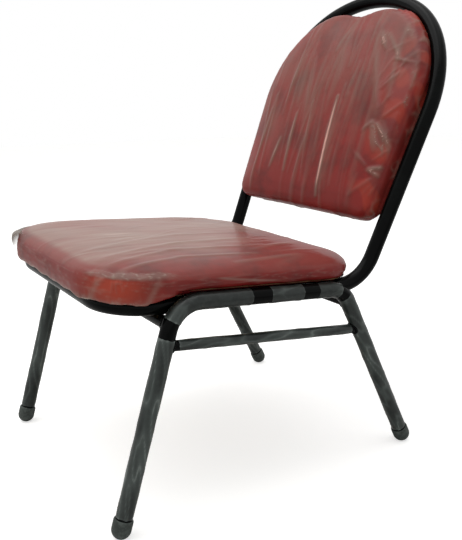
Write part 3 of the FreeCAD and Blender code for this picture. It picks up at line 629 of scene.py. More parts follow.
@dataclass(frozen=True)
class ChairLines:
    """The frame's axes, in metres, as the solids have them."""

    tube_radius: float = 12.7 * MM
    stretcher_radius: float = 8.0 * MM
    weld_gap: float = 0.3 * MM
    foot_front: tuple[float, float] = (-0.330, 0.0138)
    foot_rear: tuple[float, float] = (0.231, 0.0138)
    rail_front: tuple[float, float] = (-0.235, 0.3408)
    rail_rear: tuple[float, float] = (0.074, 0.315)
    half_front: float = 0.224
    half_rear: float = 0.2305
    leg_bend: float = 0.050
    stretcher_heights: tuple[float, float] = (0.279, 0.240)
    ring_front: float = -0.322
    ring_drop: float = 0.012
    hoop_depth: float = 0.1385
    hoop_recline: float = math.radians(22.3)
    hoop_half_width: float = 0.2235
    hoop_rise: float = 0.525
    hoop_shoulder: float = 0.200
    hoop_crown: float = 0.263

    @property
    def rail_slope(self) -> float:
        """Rise of the rails for each metre of depth."""
        return (self.rail_rear[1] - self.rail_front[1]) / (self.rail_rear[0] - self.rail_front[0])

    @property
    def toe_out(self) -> float:
        """How much further apart the leg frames are for each metre of depth, on one side."""
        return (self.half_rear - self.half_front) / (self.foot_rear[0] - self.foot_front[0])

    def rail_height(self, depth: Array | float) -> Array | float:
        """Height of the rails' axis at a depth."""
        return self.rail_front[1] + self.rail_slope * (depth - self.rail_front[0])

    def half_width(self, depth: Array | float) -> Array | float:
        """Distance of a leg frame from the chair's middle at a depth."""
        return self.half_front + self.toe_out * (depth - self.foot_front[0])

    def ring_height(self, depth: Array | float) -> Array | float:
        """Height of the seat ring's axis, which meets the rails' line at the hoop and drops to the front."""
        share = (self.hoop_depth - depth) / (self.hoop_depth - self.ring_front)
        return self.rail_height(depth) - self.ring_drop * share

    def ring_half_width(self, depth: Array | float) -> Array | float:
        """Distance of the seat ring's axis from the chair's middle: it lies against the rails' inner side."""
        return self.half_width(depth) - 2 * self.tube_radius - self.weld_gap

    def on_seat(self, across: Array, depth: Array, height: Array) -> Array:
        """A point by its place across, its depth and its height square to the rails' plane.

        Args:
            across: metres to the right.
            depth: metres behind the origin, along the seat.
            height: metres over the rails' axes.

        Returns:
            Points in the chair's frame.
        """
        tilt = math.atan(self.rail_slope)
        return np.stack(np.broadcast_arrays(across, depth - height * math.sin(tilt),
                                            self.rail_height(depth) + height * math.cos(tilt)), axis=-1)

    def seat_height(self, points: Array) -> Array:
        """How far points lie over the rails' plane.

        Args:
            points: places in the chair's frame.

        Returns:
            Distances in metres, square to that plane.
        """
        tilt = math.atan(self.rail_slope)
        rise = points[..., 2] - self.rail_front[1]
        return rise * math.cos(tilt) - (points[..., 1] - self.rail_front[0]) * math.sin(tilt)

    def on_hoop(self, across: Array, rise: Array, ahead: Array) -> Array:
        """A point by its place across, its rise in the hoop's plane and its distance before that plane.

        Args:
            across: metres to the right.
            rise: metres up along the leaning hoop.
            ahead: metres in front of the hoop's plane.

        Returns:
            Points in the chair's frame.
        """
        sine, cosine = math.sin(self.hoop_recline), math.cos(self.hoop_recline)
        depth = self.hoop_depth + rise * sine - ahead * cosine
        return np.stack(np.broadcast_arrays(across, depth, self.rail_height(self.hoop_depth) + rise * cosine
                                            + ahead * sine), axis=-1)

    def from_hoop(self, points: Array) -> tuple[Array, Array, Array]:
        """The other way round from on_hoop.

        Args:
            points: places in the chair's frame.

        Returns:
            Their place across, their rise and their distance ahead of the hoop's plane.
        """
        sine, cosine = math.sin(self.hoop_recline), math.cos(self.hoop_recline)
        depth = points[..., 1] - self.hoop_depth
        height = points[..., 2] - self.rail_height(self.hoop_depth)
        return points[..., 0], depth * sine + height * cosine, height * sine - depth * cosine

    def hoop_ahead(self) -> Array:
        """The direction in front of the hoop's plane."""
        return np.array([0.0, -math.cos(self.hoop_recline), math.sin(self.hoop_recline)])

    def inside_hoop(self, across: Array, rise: Array) -> Array:
        """How far places in the hoop's plane lie inside its axis.

        The right half is the upright's line, the shoulder's arc and the crown's arc, and the left half
        mirrors it. Which of them is nearest depends on the angle at which a place lies from the shoulder's
        centre.

        Args:
            across: metres to the right.
            rise: metres up along the hoop.

        Returns:
            Distances in metres.
        """
        crown_rise = self.hoop_rise - self.hoop_crown
        centre, shoulder_rise = self.shoulder_centre
        lean = self.upright_lean() - math.pi / 2
        join = math.atan2(shoulder_rise - crown_rise, centre)
        beside, over = np.abs(across) - centre, rise - shoulder_rise
        upright = self.hoop_shoulder - beside * math.cos(lean) - over * math.sin(lean)
        shoulder = self.hoop_shoulder - np.hypot(beside, over)
        crown = self.hoop_crown - np.hypot(across, rise - crown_rise)
        angle = np.arctan2(over, beside)
        return np.where(angle < lean, upright, np.where(angle < join, shoulder, crown))

    @property
    def shoulder_centre(self) -> tuple[float, float]:
        """Centre of the right shoulder's arc, which touches the crown's arc: its place across and its rise.

        Returns:
            Metres to the right and metres up along the hoop.
        """
        across = self.hoop_half_width - self.hoop_shoulder
        over_crown = math.sqrt((self.hoop_crown - self.hoop_shoulder) ** 2 - across ** 2)
        return across, self.hoop_rise - self.hoop_crown + over_crown

    def upright_lean(self) -> float:
        """Angle of the right upright in the hoop's plane: from the ring, tangent to the shoulder's arc.

        Returns:
            The angle from the direction across, in radians.
        """
        across, rise = self.shoulder_centre
        inward = across - self.ring_half_width(self.hoop_depth)
        return math.atan2(rise, inward) - math.asin(self.hoop_shoulder / math.hypot(rise, inward))

    def leg_outward(self, side: Side) -> Array:
        """The direction square to a leg frame's plane, away from the chair."""
        return np.array([side.value, -self.toe_out, 0.0]) / math.hypot(1.0, self.toe_out)

    def leg_route(self, side: Side, step: float) -> tuple[Array, Array]:
        """A leg frame's axis from its front foot to its rear foot: lines, with arcs at the two bends.

        Args:
            side: which frame.
            step: distance between points.

        Returns:
            Points along the axis and their distance along it.
        """
        flat = np.array([self.foot_front, self.rail_front, self.rail_rear, self.foot_rear])
        corners = np.column_stack([side.value * self.half_width(flat[:, 0]), flat])
        points = rounded_route(corners, self.leg_bend, step)
        return points, distance_along(points)


def distance_along(points: Array) -> Array:
    """Distance from a route's start to each of its points."""
    return np.concatenate([[0.0], np.cumsum(np.linalg.norm(np.diff(points, axis=0), axis=1))])


def rounded_route(corners: Array, radius: float, step: float, stations_each: int = 33) -> Array:
    """A route through corners, each inner one replaced by the arc of a radius that touches both of its runs.

    Args:
        corners: the route's ends and corners.
        radius: the arcs' radius.
        step: distance between points.
        stations_each: how many points each arc is worked out with.

    Returns:
        Points along the route, evenly apart.
    """
    stations = [corners[:1]]
    for before, corner, after in zip(corners, corners[1:], corners[2:]):
        inward = (before - corner) / np.linalg.norm(before - corner)
        outward = (after - corner) / np.linalg.norm(after - corner)
        half = math.acos(float(inward @ outward)) / 2
        centre = corner + (inward + outward) / np.linalg.norm(inward + outward) * radius / math.sin(half)
        start, end = [corner + way * radius / math.tan(half) - centre for way in (inward, outward)]
        turn = math.pi - 2 * half
        share = np.linspace(0, 1, stations_each)[:, None]
        arc = (np.sin((1 - share) * turn) * start + np.sin(share * turn) * end) / math.sin(turn)
        stations.append(centre + arc)
    stations.append(corners[-1:])
    rough = np.concatenate(stations)
    along = distance_along(rough)
    even = np.linspace(0, along[-1], int(along[-1] / step) + 1)
    return np.column_stack([np.interp(even, along, rough[:, axis]) for axis in range(3)])


def spokes(route: Array, outward: Array, columns: int) -> Array:
    """Unit directions round a flat route: an angle's cosine outwards and its sine along the third direction.

    Args:
        route: points of the axis, in one plane.
        outward: that plane's direction.
        columns: how many angles there are.

    Returns:
        A grid of directions, one row for each point of the route.
    """
    tangent = np.gradient(route, axis=0)
    tangent /= np.linalg.norm(tangent, axis=1, keepdims=True)
    angle = np.linspace(0, 2 * math.pi, columns, endpoint=False)[None, :, None]
    return np.cos(angle) * outward + np.sin(angle) * np.cross(tangent, outward)[:, None]


# Frame

@dataclass
class TubeFrame:
    """The bent tubes, their feet and their welds."""

    lines: ChairLines
    bead_radius: float = 2.3 * MM
    bead_ripple: float = 0.35 * MM
    ripple_pitch: float = 2.6 * MM
    bead_columns: int = 10
    bead_sunk: float = 0.6
    bead_taper: float = 0.06
    rim_points: int = 96
    cross_radius: float = 9.5 * MM
    seam_length: float = 0.045
    seam_points: int = 40
    seam_depths: tuple[float, ...] = (-0.17, -0.06, 0.05)
    # A direction that no rim runs along, so that each rim has a side square to both
    off_axis: tuple[float, float, float] = (0.31, 0.52, 0.8)

    def dress(self) -> None:
        """Give the frame's solids their enamel and rubber."""
        enamel = BlackEnamel().material()
        rubber = MouldedRubber().material()
        for name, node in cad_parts.items():
            if name.startswith("foot_") or name == "seat_spacers":
                finish(node, rubber)
            elif "frame" in name or "stretcher" in name or "cross_tube" in name or name == "back_pad_tabs":
                finish(node, enamel)
        self.build_welds(enamel)

    def leg_axis(self, end: End, side: Side) -> tuple[Array, Array]:
        """A straight leg's foot and its direction.

        Args:
            end: front or rear leg.
            side: left or right leg.

        Returns:
            The foot's centre and the unit direction up the leg.
        """
        lines = self.lines
        front, rear = (lines.foot_front, lines.rail_front), (lines.foot_rear, lines.rail_rear)
        foot, top = [np.array([side.value * lines.half_width(depth), depth, height])
                     for depth, height in (front if end is End.FRONT else rear)]
        return foot, (top - foot) / np.linalg.norm(top - foot)

    def coped_bead(self, start: Array, along: Array, radius: float, foot: Array, leg: Array) -> Array:
        """The rim where a round bar runs into a leg.

        Each point round the bar slides along it until it is a tube radius from the leg's axis, which is a
        square equation for every angle at once. A rippled bead follows that rim.

        Args:
            start: a point of the bar's axis, outside the leg.
            along: the bar's unit direction, towards the leg.
            radius: the bar's radius.
            foot: a point of the leg's axis.
            leg: the leg's unit direction.

        Returns:
            A grid of points: round the bar by round the bead.
        """
        angle = np.linspace(0, 2 * math.pi, self.rim_points, endpoint=False)[:, None]
        first = np.cross(along, leg)
        first /= np.linalg.norm(first)
        ring = np.cos(angle) * first + np.sin(angle) * np.cross(along, first)
        base = start + radius * ring - foot
        flat = base - (base @ leg)[:, None] * leg
        slide = along - (along @ leg) * leg
        middle = flat @ slide
        room = middle ** 2 - (slide @ slide) * ((flat ** 2).sum(1) - self.lines.tube_radius ** 2)
        reach = (-middle - np.sqrt(np.maximum(room, 0))) / (slide @ slide)
        rim = start + radius * ring + reach[:, None] * along
        return self.bead_on(rim, closed=True)

    def bead_on(self, rim: Array, closed: bool) -> Array:
        """A weld bead: a small round profile along a rim, with ripples along it, thin at open ends.

        Args:
            rim: points that the bead follows.
            closed: whether the rim joins its own start.

        Returns:
            A grid of points: along the rim by round the bead.
        """
        tangent = np.roll(rim, -1, 0) - np.roll(rim, 1, 0) if closed else np.gradient(rim, axis=0)
        tangent /= np.linalg.norm(tangent, axis=1, keepdims=True)
        side = np.cross(tangent, np.array(self.off_axis))
        side /= np.linalg.norm(side, axis=1, keepdims=True)
        along = distance_along(rim)
        radius = self.bead_radius + self.bead_ripple * np.sin(2 * math.pi * along / self.ripple_pitch)
        if not closed:
            share = along / along[-1]
            radius = radius * np.clip(np.minimum(share, 1 - share) / self.bead_taper, 0.05, 1.0)
        angle = np.linspace(0, 2 * math.pi, self.bead_columns, endpoint=False)[None, :, None]
        spoke = np.cos(angle) * side[:, None] + np.sin(angle) * np.cross(tangent, side)[:, None]
        return rim[:, None] + radius[:, None, None] * spoke

    def build_welds(self, enamel: bpy.types.Material) -> None:
        """Beads round the stretchers' and cross tubes' ends and along the rails, under the same enamel.

        Args:
            enamel: the frame's finish.
        """
        closed_beads, open_beads = [], []
        for side in Side:
            legs = {end: self.leg_axis(end, side) for end in End}
            spots = {end: foot + leg * ((height - foot[2]) / leg[2])
                     for (end, (foot, leg)), height in zip(legs.items(), self.lines.stretcher_heights)}
            middle = (spots[End.FRONT] + spots[End.REAR]) / 2
            for end, (foot, leg) in legs.items():
                way = (spots[end] - middle) / np.linalg.norm(spots[end] - middle)
                closed_beads.append(self.coped_bead(middle, way, self.lines.stretcher_radius, foot, leg))
                low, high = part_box("front_cross_tube" if end is End.FRONT else "rear_cross_tube")
                centre = (np.array(low) + np.array(high)) / 2
                sideways = np.array([side.value, 0.0, 0.0])
                closed_beads.append(self.coped_bead(centre, sideways, self.cross_radius, foot, leg))
            for depth in self.seam_depths:
                open_beads.append(self.bead_on(self.rail_seam(side, depth), closed=False))
        points, faces, first = [], [], 0
        for beads, closed in ((closed_beads, True), (open_beads, False)):
            for bead in beads:
                rows, columns = bead.shape[:2]
                points.append(bead.reshape(-1, 3))
                faces.append(grid_faces(rows, columns, looped=closed, first=first))
                first += rows * columns
        beads = new_piece("weld_beads", np.concatenate(points), np.concatenate(faces), enamel)
        settle(beads, "black_lacquer")

    def rail_seam(self, side: Side, depth: float) -> Array:
        """A short line in the groove under a rail and the seat ring beside it.

        The bead's centre is a tube radius and a part of its own radius away from both axes.

        Args:
            side: left or right.
            depth: the seam's middle.

        Returns:
            Points along the seam.
        """
        lines = self.lines
        half = self.seam_length / 2
        places = np.linspace(depth - half, depth + half, self.seam_points)
        rail = np.column_stack([side.value * lines.half_width(places), places, lines.rail_height(places)])
        ring_across = side.value * lines.ring_half_width(places)
        ring = np.column_stack([ring_across, places, lines.ring_height(places)])
        across = ring - rail
        apart = np.linalg.norm(across, axis=1, keepdims=True)
        down = np.cross(across / apart, np.array([0.0, 1.0, 0.0])) * side.value
        down *= -np.sign(down[:, 2:])
        reach = np.sqrt((lines.tube_radius + self.bead_sunk * self.bead_radius) ** 2 - (apart / 2) ** 2)
        return (rail + ring) / 2 + down * reach


def finish(node: bpy.types.Object, material: bpy.types.Material) -> None:
    """Put a material into all of a solid's slots, and report it.

    Args:
        node: the solid's object.
        material: its finish.
    """
    if not node.material_slots:
        node.data.materials.append(material)
    for slot in node.material_slots:
        slot.material = material
    log.info("%s: %s", node.name, material.name)


def settle(piece: bpy.types.Object, slot: str, *stands_for: str) -> None:
    """Tie a piece to the chair's one body, hide the solids that it stands for, and report it.

    Args:
        piece: the new piece.
        slot: the material slot in the record, which is not used.
        stands_for: the solids that it is shown instead of.
    """
    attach(piece, "root")
    if stands_for:
        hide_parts(*stands_for)
    log.info("%s: %d faces", piece.name, len(piece.data.polygons))


# Film on the legs

@dataclass
class LegFilm:
    """Grey packing film wound round the leg frames and the stretchers, with bare gaps."""

    lines: ChairLines
    step: float = 2.2 * MM
    columns: int = 44
    lap: int = 2
    slack: float = 0.6 * MM
    cling: float = 0.12 * MM
    lap_lift: float = 0.1 * MM
    tucked_end: float = 0.2 * MM
    hem_width: float = 2.5 * MM
    fold_size: float = 0.014
    cloud_size: float = 0.034
    climb: float = 14.0
    draw_out: float = 0.2
    # The rails' stretch of a leg frame's length, and the length over which the film goes flat there
    rail_span: tuple[float, float] = (0.33, 0.63)
    rail_blend: float = 0.03
    # The wrapped share of a stretcher between its two legs' axes
    stretcher_span: tuple[float, float] = (0.052, 0.945)
    stretcher_points: int = 130
    stretcher_seed: int = 77
    # A stretcher's distances start beyond any rail
    off_rail: float = 2.0
    wraps: dict[Side, list[tuple[float, float]]] = field(default_factory=lambda: {
        Side.RIGHT: [(0.0164, 0.289), (0.313, 0.4547), (0.4858, 0.553), (0.579, 0.629), (0.643, 0.9559)],
        Side.LEFT: [(0.0164, 0.283), (0.306, 0.420), (0.447, 0.566), (0.588, 0.634), (0.650, 0.9559)],
    })

    def build(self) -> None:
        """Make one piece of film for each stretch of tube that is wrapped."""
        film = PackingFilm().material()
        for side in Side:
            name = side.name.lower()
            outward = self.lines.leg_outward(side)
            route, along = self.lines.leg_route(side, self.step)
            radius = self.lines.tube_radius
            for number, (start, end) in enumerate(self.wraps[side], start=1):
                part = (along >= start) & (along <= end)
                piece = self.wrap(f"leg_film_{name}_{number}", route[part], along[part], outward, radius,
                                  film, 10 * number)
            bar, along = self.stretcher_route(side)
            radius = self.lines.stretcher_radius
            piece = self.wrap(f"stretcher_film_{name}", bar, along, outward, radius,
                              film, self.stretcher_seed)

    def stretcher_route(self, side: Side) -> tuple[Array, Array]:
        """The stretcher's axis between the two legs, short of both.

        Each end is the place on a leg's axis at the stretcher's height there, and the route is straight.

        Args:
            side: which stretcher.

        Returns:
            Points along the axis, and distances beyond any rail.
        """
        lines = self.lines
        ends = []
        for foot, top, height in ((lines.foot_front, lines.rail_front, lines.stretcher_heights[0]),
                                  (lines.foot_rear, lines.rail_rear, lines.stretcher_heights[1])):
            depth = foot[0] + (top[0] - foot[0]) * (height - foot[1]) / (top[1] - foot[1])
            ends.append([side.value * lines.half_width(depth), depth, height])
        share = np.linspace(*self.stretcher_span, self.stretcher_points)[:, None]
        bar = np.array(ends[0]) * (1 - share) + np.array(ends[1]) * share
        return bar, distance_along(bar) + self.off_rail

    def wrap(self, name: str, route: Array, along: Array, outward: Array, radius: float,
             film: bpy.types.Material, seed: int) -> bpy.types.Object:
        """One piece of wound film: the tube's radius plus low folds that run along it and climb round it.

        The folds are noise over the tube's surface, drawn out along its length. They lie flat where the seat
        ring or the seat rests against the rail, and there the film is darker: painted shade under the seat.
        Fold
        crests are pale: milky film with painted highlights. Both ends have a pale edge and dip into the tube.
        The film's sides lap on the tube's inner side.

        Args:
            name: the piece's name.
            route: the tube's axis.
            along: distance along the whole leg frame.
            outward: the leg frame's outward direction.
            radius: the tube's radius.
            film: its finish.
            seed: picks its folds.

        Returns:
            The piece.
        """
        order = np.arange(self.columns + self.lap) + self.columns // 2
        ways = spokes(route, outward, self.columns)[:, order % self.columns]
        far = np.broadcast_to(along[:, None], ways.shape[:2])
        turn = 2 * math.pi / self.columns * order[None, :] + self.climb * far
        unrolled = np.stack([far * self.draw_out, radius * np.cos(turn), radius * np.sin(turn)], axis=-1)
        fold = crests(crumple(unrolled, self.fold_size, seed), 1.3) ** 2
        cloud = np.tanh(crumple(unrolled, self.cloud_size, seed + 2))
        edge = np.minimum(far - along[0], along[-1] - far)
        start, end = self.rail_span
        on_rail = smooth_step(start, start + self.rail_blend, far)
        on_rail = on_rail * (1 - smooth_step(end - self.rail_blend, end, far))
        by_ring = smooth_step(-0.1, 0.45, -(ways @ outward))
        by_seat = smooth_step(0.35, 0.8, ways[..., 2])
        lift = self.cling + self.slack * fold * (1 - on_rail * np.clip(by_ring + by_seat, 0, 1))
        lift = lift + self.lap_lift * (np.arange(len(order)) >= self.columns)
        lift = np.where(edge > 0, lift * np.clip(0.3 + edge / (3 * MM), 0, 1), -self.tucked_end)
        points = route[:, None] + (radius + lift)[..., None] * ways
        piece = new_piece(name, points, grid_faces(len(route), len(order), closed=False), film)
        # Paler on fold crests (milky film and painted highlight), darker along the rails (painted shade under
        # the seat)
        haze = 0.12 + 0.62 * fold + 0.3 * cloud + 0.4 * bell(edge, self.hem_width) - 0.4 * on_rail
        write_attribute(piece.data, "haze", np.clip(haze, 0, 1).ravel())
        settle(piece, "black_lacquer")
        return piece


# Folds and crinkles of the film on the pads

@dataclass(frozen=True)
class Fold:
    """A fold on a pad's face: its ends in metres, its width and rise in millimetres, and its paleness, which
    is milky film and, where the pad's haze passes 0.9, a painted highlight.
    """

    start: tuple[float, float]
    end: tuple[float, float]
    width: float
    rise: float
    pale: float


@dataclass(frozen=True)
class Scatter:
    """Folds at random places of a face, that run about the same way.

    Middles lie between low and high, in metres. The heading and its stray are in degrees. Length, in metres,
    and width, in millimetres, are the least and the most. Rise, in millimetres, and paleness are the most.
    """

    seed: int
    count: int
    low: tuple[float, float]
    high: tuple[float, float]
    heading: float
    stray: float
    length: tuple[float, float]
    width: tuple[float, float]
    rise: float
    pale: float
    weakest: float = 0.25

    def folds(self) -> list[Fold]:
        """Draw the folds.

        Returns:
            As many folds as the count says.
        """
        chance = np.random.default_rng(self.seed)
        middles = chance.uniform(self.low, self.high, (self.count, 2))
        turns = np.radians(self.heading + self.stray * chance.normal(size=self.count))
        ways = np.column_stack([np.cos(turns), np.sin(turns)])
        halves = chance.uniform(*self.length, self.count)[:, None] / 2 * ways
        widths = chance.uniform(*self.width, self.count)
        strengths = chance.uniform(self.weakest, 1.0, self.count)
        return [Fold(tuple(start), tuple(end), wide, self.rise * strong, self.pale * strong)
                for start, end, wide, strong in zip(middles - halves, middles + halves, widths, strengths)]


@dataclass(frozen=True)
class Crinkle:
    """A crinkled patch of film: its middle and half sizes in metres, its turn in degrees, its paleness."""

    middle: tuple[float, float]
    half: tuple[float, float]
    turn: float
    pale: float


@dataclass(frozen=True)
class FilmMap:
    """All the folds and crinkles on one pad's face, and how sharp they are."""

    folds: tuple[Fold, ...]
    scatters: tuple[Scatter, ...]
    crinkles: tuple[Crinkle, ...]
    seed: int
    taper: float = 0.08
    patch_size: float = 0.020
    ridge_size: float = 0.024
    ridge_waves: int = 24
    ridge_width: float = 0.7
    crinkle_rise: float = 1.4 * MM

    def fields(self, places: Array) -> tuple[Array, Array]:
        """Add up the folds and the crinkles.

        A fold is a bell across its line that fades towards both of its ends. A crinkle is sharp ridges of
        noise, stretched with its patch, inside a soft-edged ellipse.

        Args:
            places: points on the pad's face, two numbers each.

        Returns:
            The rise in metres and the paleness at each point.
        """
        rise, pale = np.zeros(len(places)), np.zeros(len(places))
        for fold in [*self.folds, *(fold for scatter in self.scatters for fold in scatter.folds())]:
            start = np.array(fold.start)
            line = np.array(fold.end) - start
            share = np.clip((places - start) @ line / (line @ line), 0, 1)
            gap = np.linalg.norm(places - start - share[:, None] * line, axis=1)
            fade = np.sqrt(np.sin(math.pi * (self.taper + (1 - 2 * self.taper) * share)))
            form = bell(gap, fold.width * MM) * fade
            rise += fold.rise * MM * form
            pale += fold.pale * form
        for number, patch in enumerate(self.crinkles):
            angle = math.radians(patch.turn)
            way = np.array([[math.cos(angle), -math.sin(angle)], [math.sin(angle), math.cos(angle)]])
            local = (places - np.array(patch.middle)) @ way / np.array(patch.half)
            soft = patch.pale * np.exp(-np.linalg.norm(local, axis=1) ** 4)
            noise = crumple(self.patch_size * local, self.ridge_size, self.seed + number, self.ridge_waves)
            ridge = crests(noise, self.ridge_width) ** 1.5
            rise += self.crinkle_rise * soft * (0.3 + 0.9 * ridge)
            pale += soft * (0.35 + 0.9 * ridge)
        return rise, pale


# Paleness is milky film, and where the pad's haze passes 0.9 a painted highlight
SEAT_FILM = FilmMap(
    folds=(
        Fold((0.195, -0.315), (0.165, -0.180), 5, 1.3, 0.22),
        Fold((0.165, -0.200), (0.172, -0.060), 5, 1.3, 0.25),
        Fold((0.170, -0.320), (0.120, -0.170), 6, 1.5, 0.20),
        Fold((0.125, -0.190), (0.128, -0.020), 6, 1.3, 0.18),
        Fold((0.135, -0.310), (0.080, -0.150), 7, 1.5, 0.18),
        Fold((0.085, -0.170), (0.070, -0.010), 7, 1.3, 0.20),
        Fold((0.075, -0.300), (0.010, -0.100), 8, 1.2, 0.14),
        Fold((0.020, -0.120), (0.010, 0.030), 7, 1.0, 0.14),
        Fold((0.205, -0.120), (0.190, 0.010), 5, 1.2, 0.20),
        Fold((0.150, -0.050), (0.110, 0.070), 6, 1.1, 0.16)),
    scatters=(
        Scatter(seed=5, count=46, low=(-0.21, -0.32), high=(0.21, 0.10), heading=100, stray=14,
                length=(0.04, 0.16), width=(2.5, 7), rise=0.8, pale=0.14),),
    crinkles=(
        Crinkle((0.178, -0.325), (0.030, 0.007), 33, 0.45),
        Crinkle((0.207, -0.294), (0.026, 0.007), 58, 0.6),
        Crinkle((0.219, -0.258), (0.024, 0.006), 80, 0.5)),
    seed=23)

BACK_FILM = FilmMap(
    folds=(
        # The first fold is the back's main painted highlight
        Fold((0.043, 0.313), (0.062, 0.127), 3.8, 2.2, 1.25),
        Fold((-0.060, 0.277), (-0.049, 0.164), 4.0, 1.5, 0.7),
        Fold((-0.087, 0.225), (-0.096, 0.168), 4.0, 1.6, 0.75),
        Fold((0.005, 0.460), (-0.006, 0.405), 4.0, 1.4, 0.4),
        Fold((0.004, 0.418), (0.005, 0.329), 5.0, 1.2, 0.25),
        Fold((0.070, 0.380), (0.065, 0.315), 3.5, 1.2, 0.3),
        Fold((0.090, 0.430), (0.150, 0.285), 8.0, 1.6, 0.4),
        Fold((0.118, 0.432), (0.160, 0.385), 4.0, 1.2, 0.4),
        Fold((-0.062, 0.390), (-0.035, 0.288), 5.0, 1.0, 0.2),
        Fold((-0.085, 0.474), (-0.105, 0.350), 5.0, 1.0, 0.18),
        Fold((0.083, 0.253), (0.093, 0.150), 4.5, 1.2, 0.22),
        Fold((0.147, 0.270), (0.171, 0.222), 5.0, 1.6, 0.4),
        Fold((0.163, 0.266), (0.198, 0.232), 5.0, 1.6, 0.4),
        Fold((0.198, 0.230), (0.205, 0.200), 4.0, 1.4, 0.5),
        Fold((0.172, 0.187), (0.203, 0.197), 3.5, 1.5, 0.5),
        Fold((0.176, 0.184), (0.206, 0.176), 3.5, 1.5, 0.4),
        Fold((0.150, 0.385), (0.188, 0.381), 3.0, 1.0, 0.3),
        Fold((0.100, 0.435), (0.120, 0.405), 5.0, 1.8, 0.5),
        Fold((-0.020, 0.300), (0.010, 0.150), 4.0, 1.0, 0.2)),
    scatters=(
        Scatter(seed=3, count=70, low=(-0.18, 0.14), high=(0.17, 0.46), heading=93, stray=5,
                length=(0.06, 0.22), width=(2.0, 6.0), rise=1.0, pale=0.24),
        Scatter(seed=9, count=22, low=(0.14, 0.14), high=(0.20, 0.42), heading=75, stray=30,
                length=(0.02, 0.06), width=(2.0, 4.5), rise=1.2, pale=0.25)),
    crinkles=(
        Crinkle((0.174, 0.244), (0.016, 0.032), 35, 0.8),
        Crinkle((0.190, 0.187), (0.020, 0.007), 0, 0.8),
        Crinkle((0.202, 0.313), (0.006, 0.012), 10, 0.7),
        Crinkle((0.205, 0.252), (0.006, 0.018), 10, 0.6),
        Crinkle((0.166, 0.438), (0.022, 0.012), -20, 0.55),
        Crinkle((0.110, 0.425), (0.012, 0.016), 20, 0.4),
        Crinkle((0.197, 0.375), (0.007, 0.040), 5, 0.45),
        Crinkle((0.205, 0.160), (0.005, 0.030), 3, 0.45)),
    seed=29)


def lay_film(pad: bpy.types.Object, points: Array, haze: Array, painted_glow: Array) -> None:
    """Move a pad's points to where its film lies, and store what its finish reads.

    Args:
        pad: the filled pad.
        points: its new points.
        haze: how milky the film is, where more than 0.9 is a painted highlight.
        painted_glow: how much painted glow the red has.
    """
    pad.data.vertices.foreach_set("co", points.ravel())
    pad.data.update()
    write_attribute(pad.data, "haze", np.clip(haze, 0, 1.4))
    write_attribute(pad.data, "painted_glow", np.clip(painted_glow, 0, 1))


# Pads

def even_outline(stations: Array, columns: int) -> tuple[Array, Array]:
    """A closed flat outline with evenly spaced points and its outward directions.

    Args:
        stations: points round the outline, counterclockwise, not evenly apart.
        columns: how many points to make.

    Returns:
        Points and unit normals.
    """
    ring = np.concatenate([stations, stations[:1]])
    along = distance_along(ring)
    even = np.linspace(0, along[-1], columns, endpoint=False)
    points = np.column_stack([np.interp(even, along, ring[:, axis]) for axis in range(2)])
    tangent = np.roll(points, -2, 0) - np.roll(points, 2, 0)
    tangent /= np.linalg.norm(tangent, axis=1, keepdims=True)
    return points, np.column_stack([tangent[:, 1], -tangent[:, 0]])


def arc_points(centre: tuple[float, float], radius: float, start: float, end: float,
               count: int = 25) -> Array:
    """Points of an arc from one angle to another, in degrees."""
    angle = np.radians(np.linspace(start, end, count))[:, None]
    return np.array(centre) + radius * np.concatenate([np.cos(angle), np.sin(angle)], axis=1)


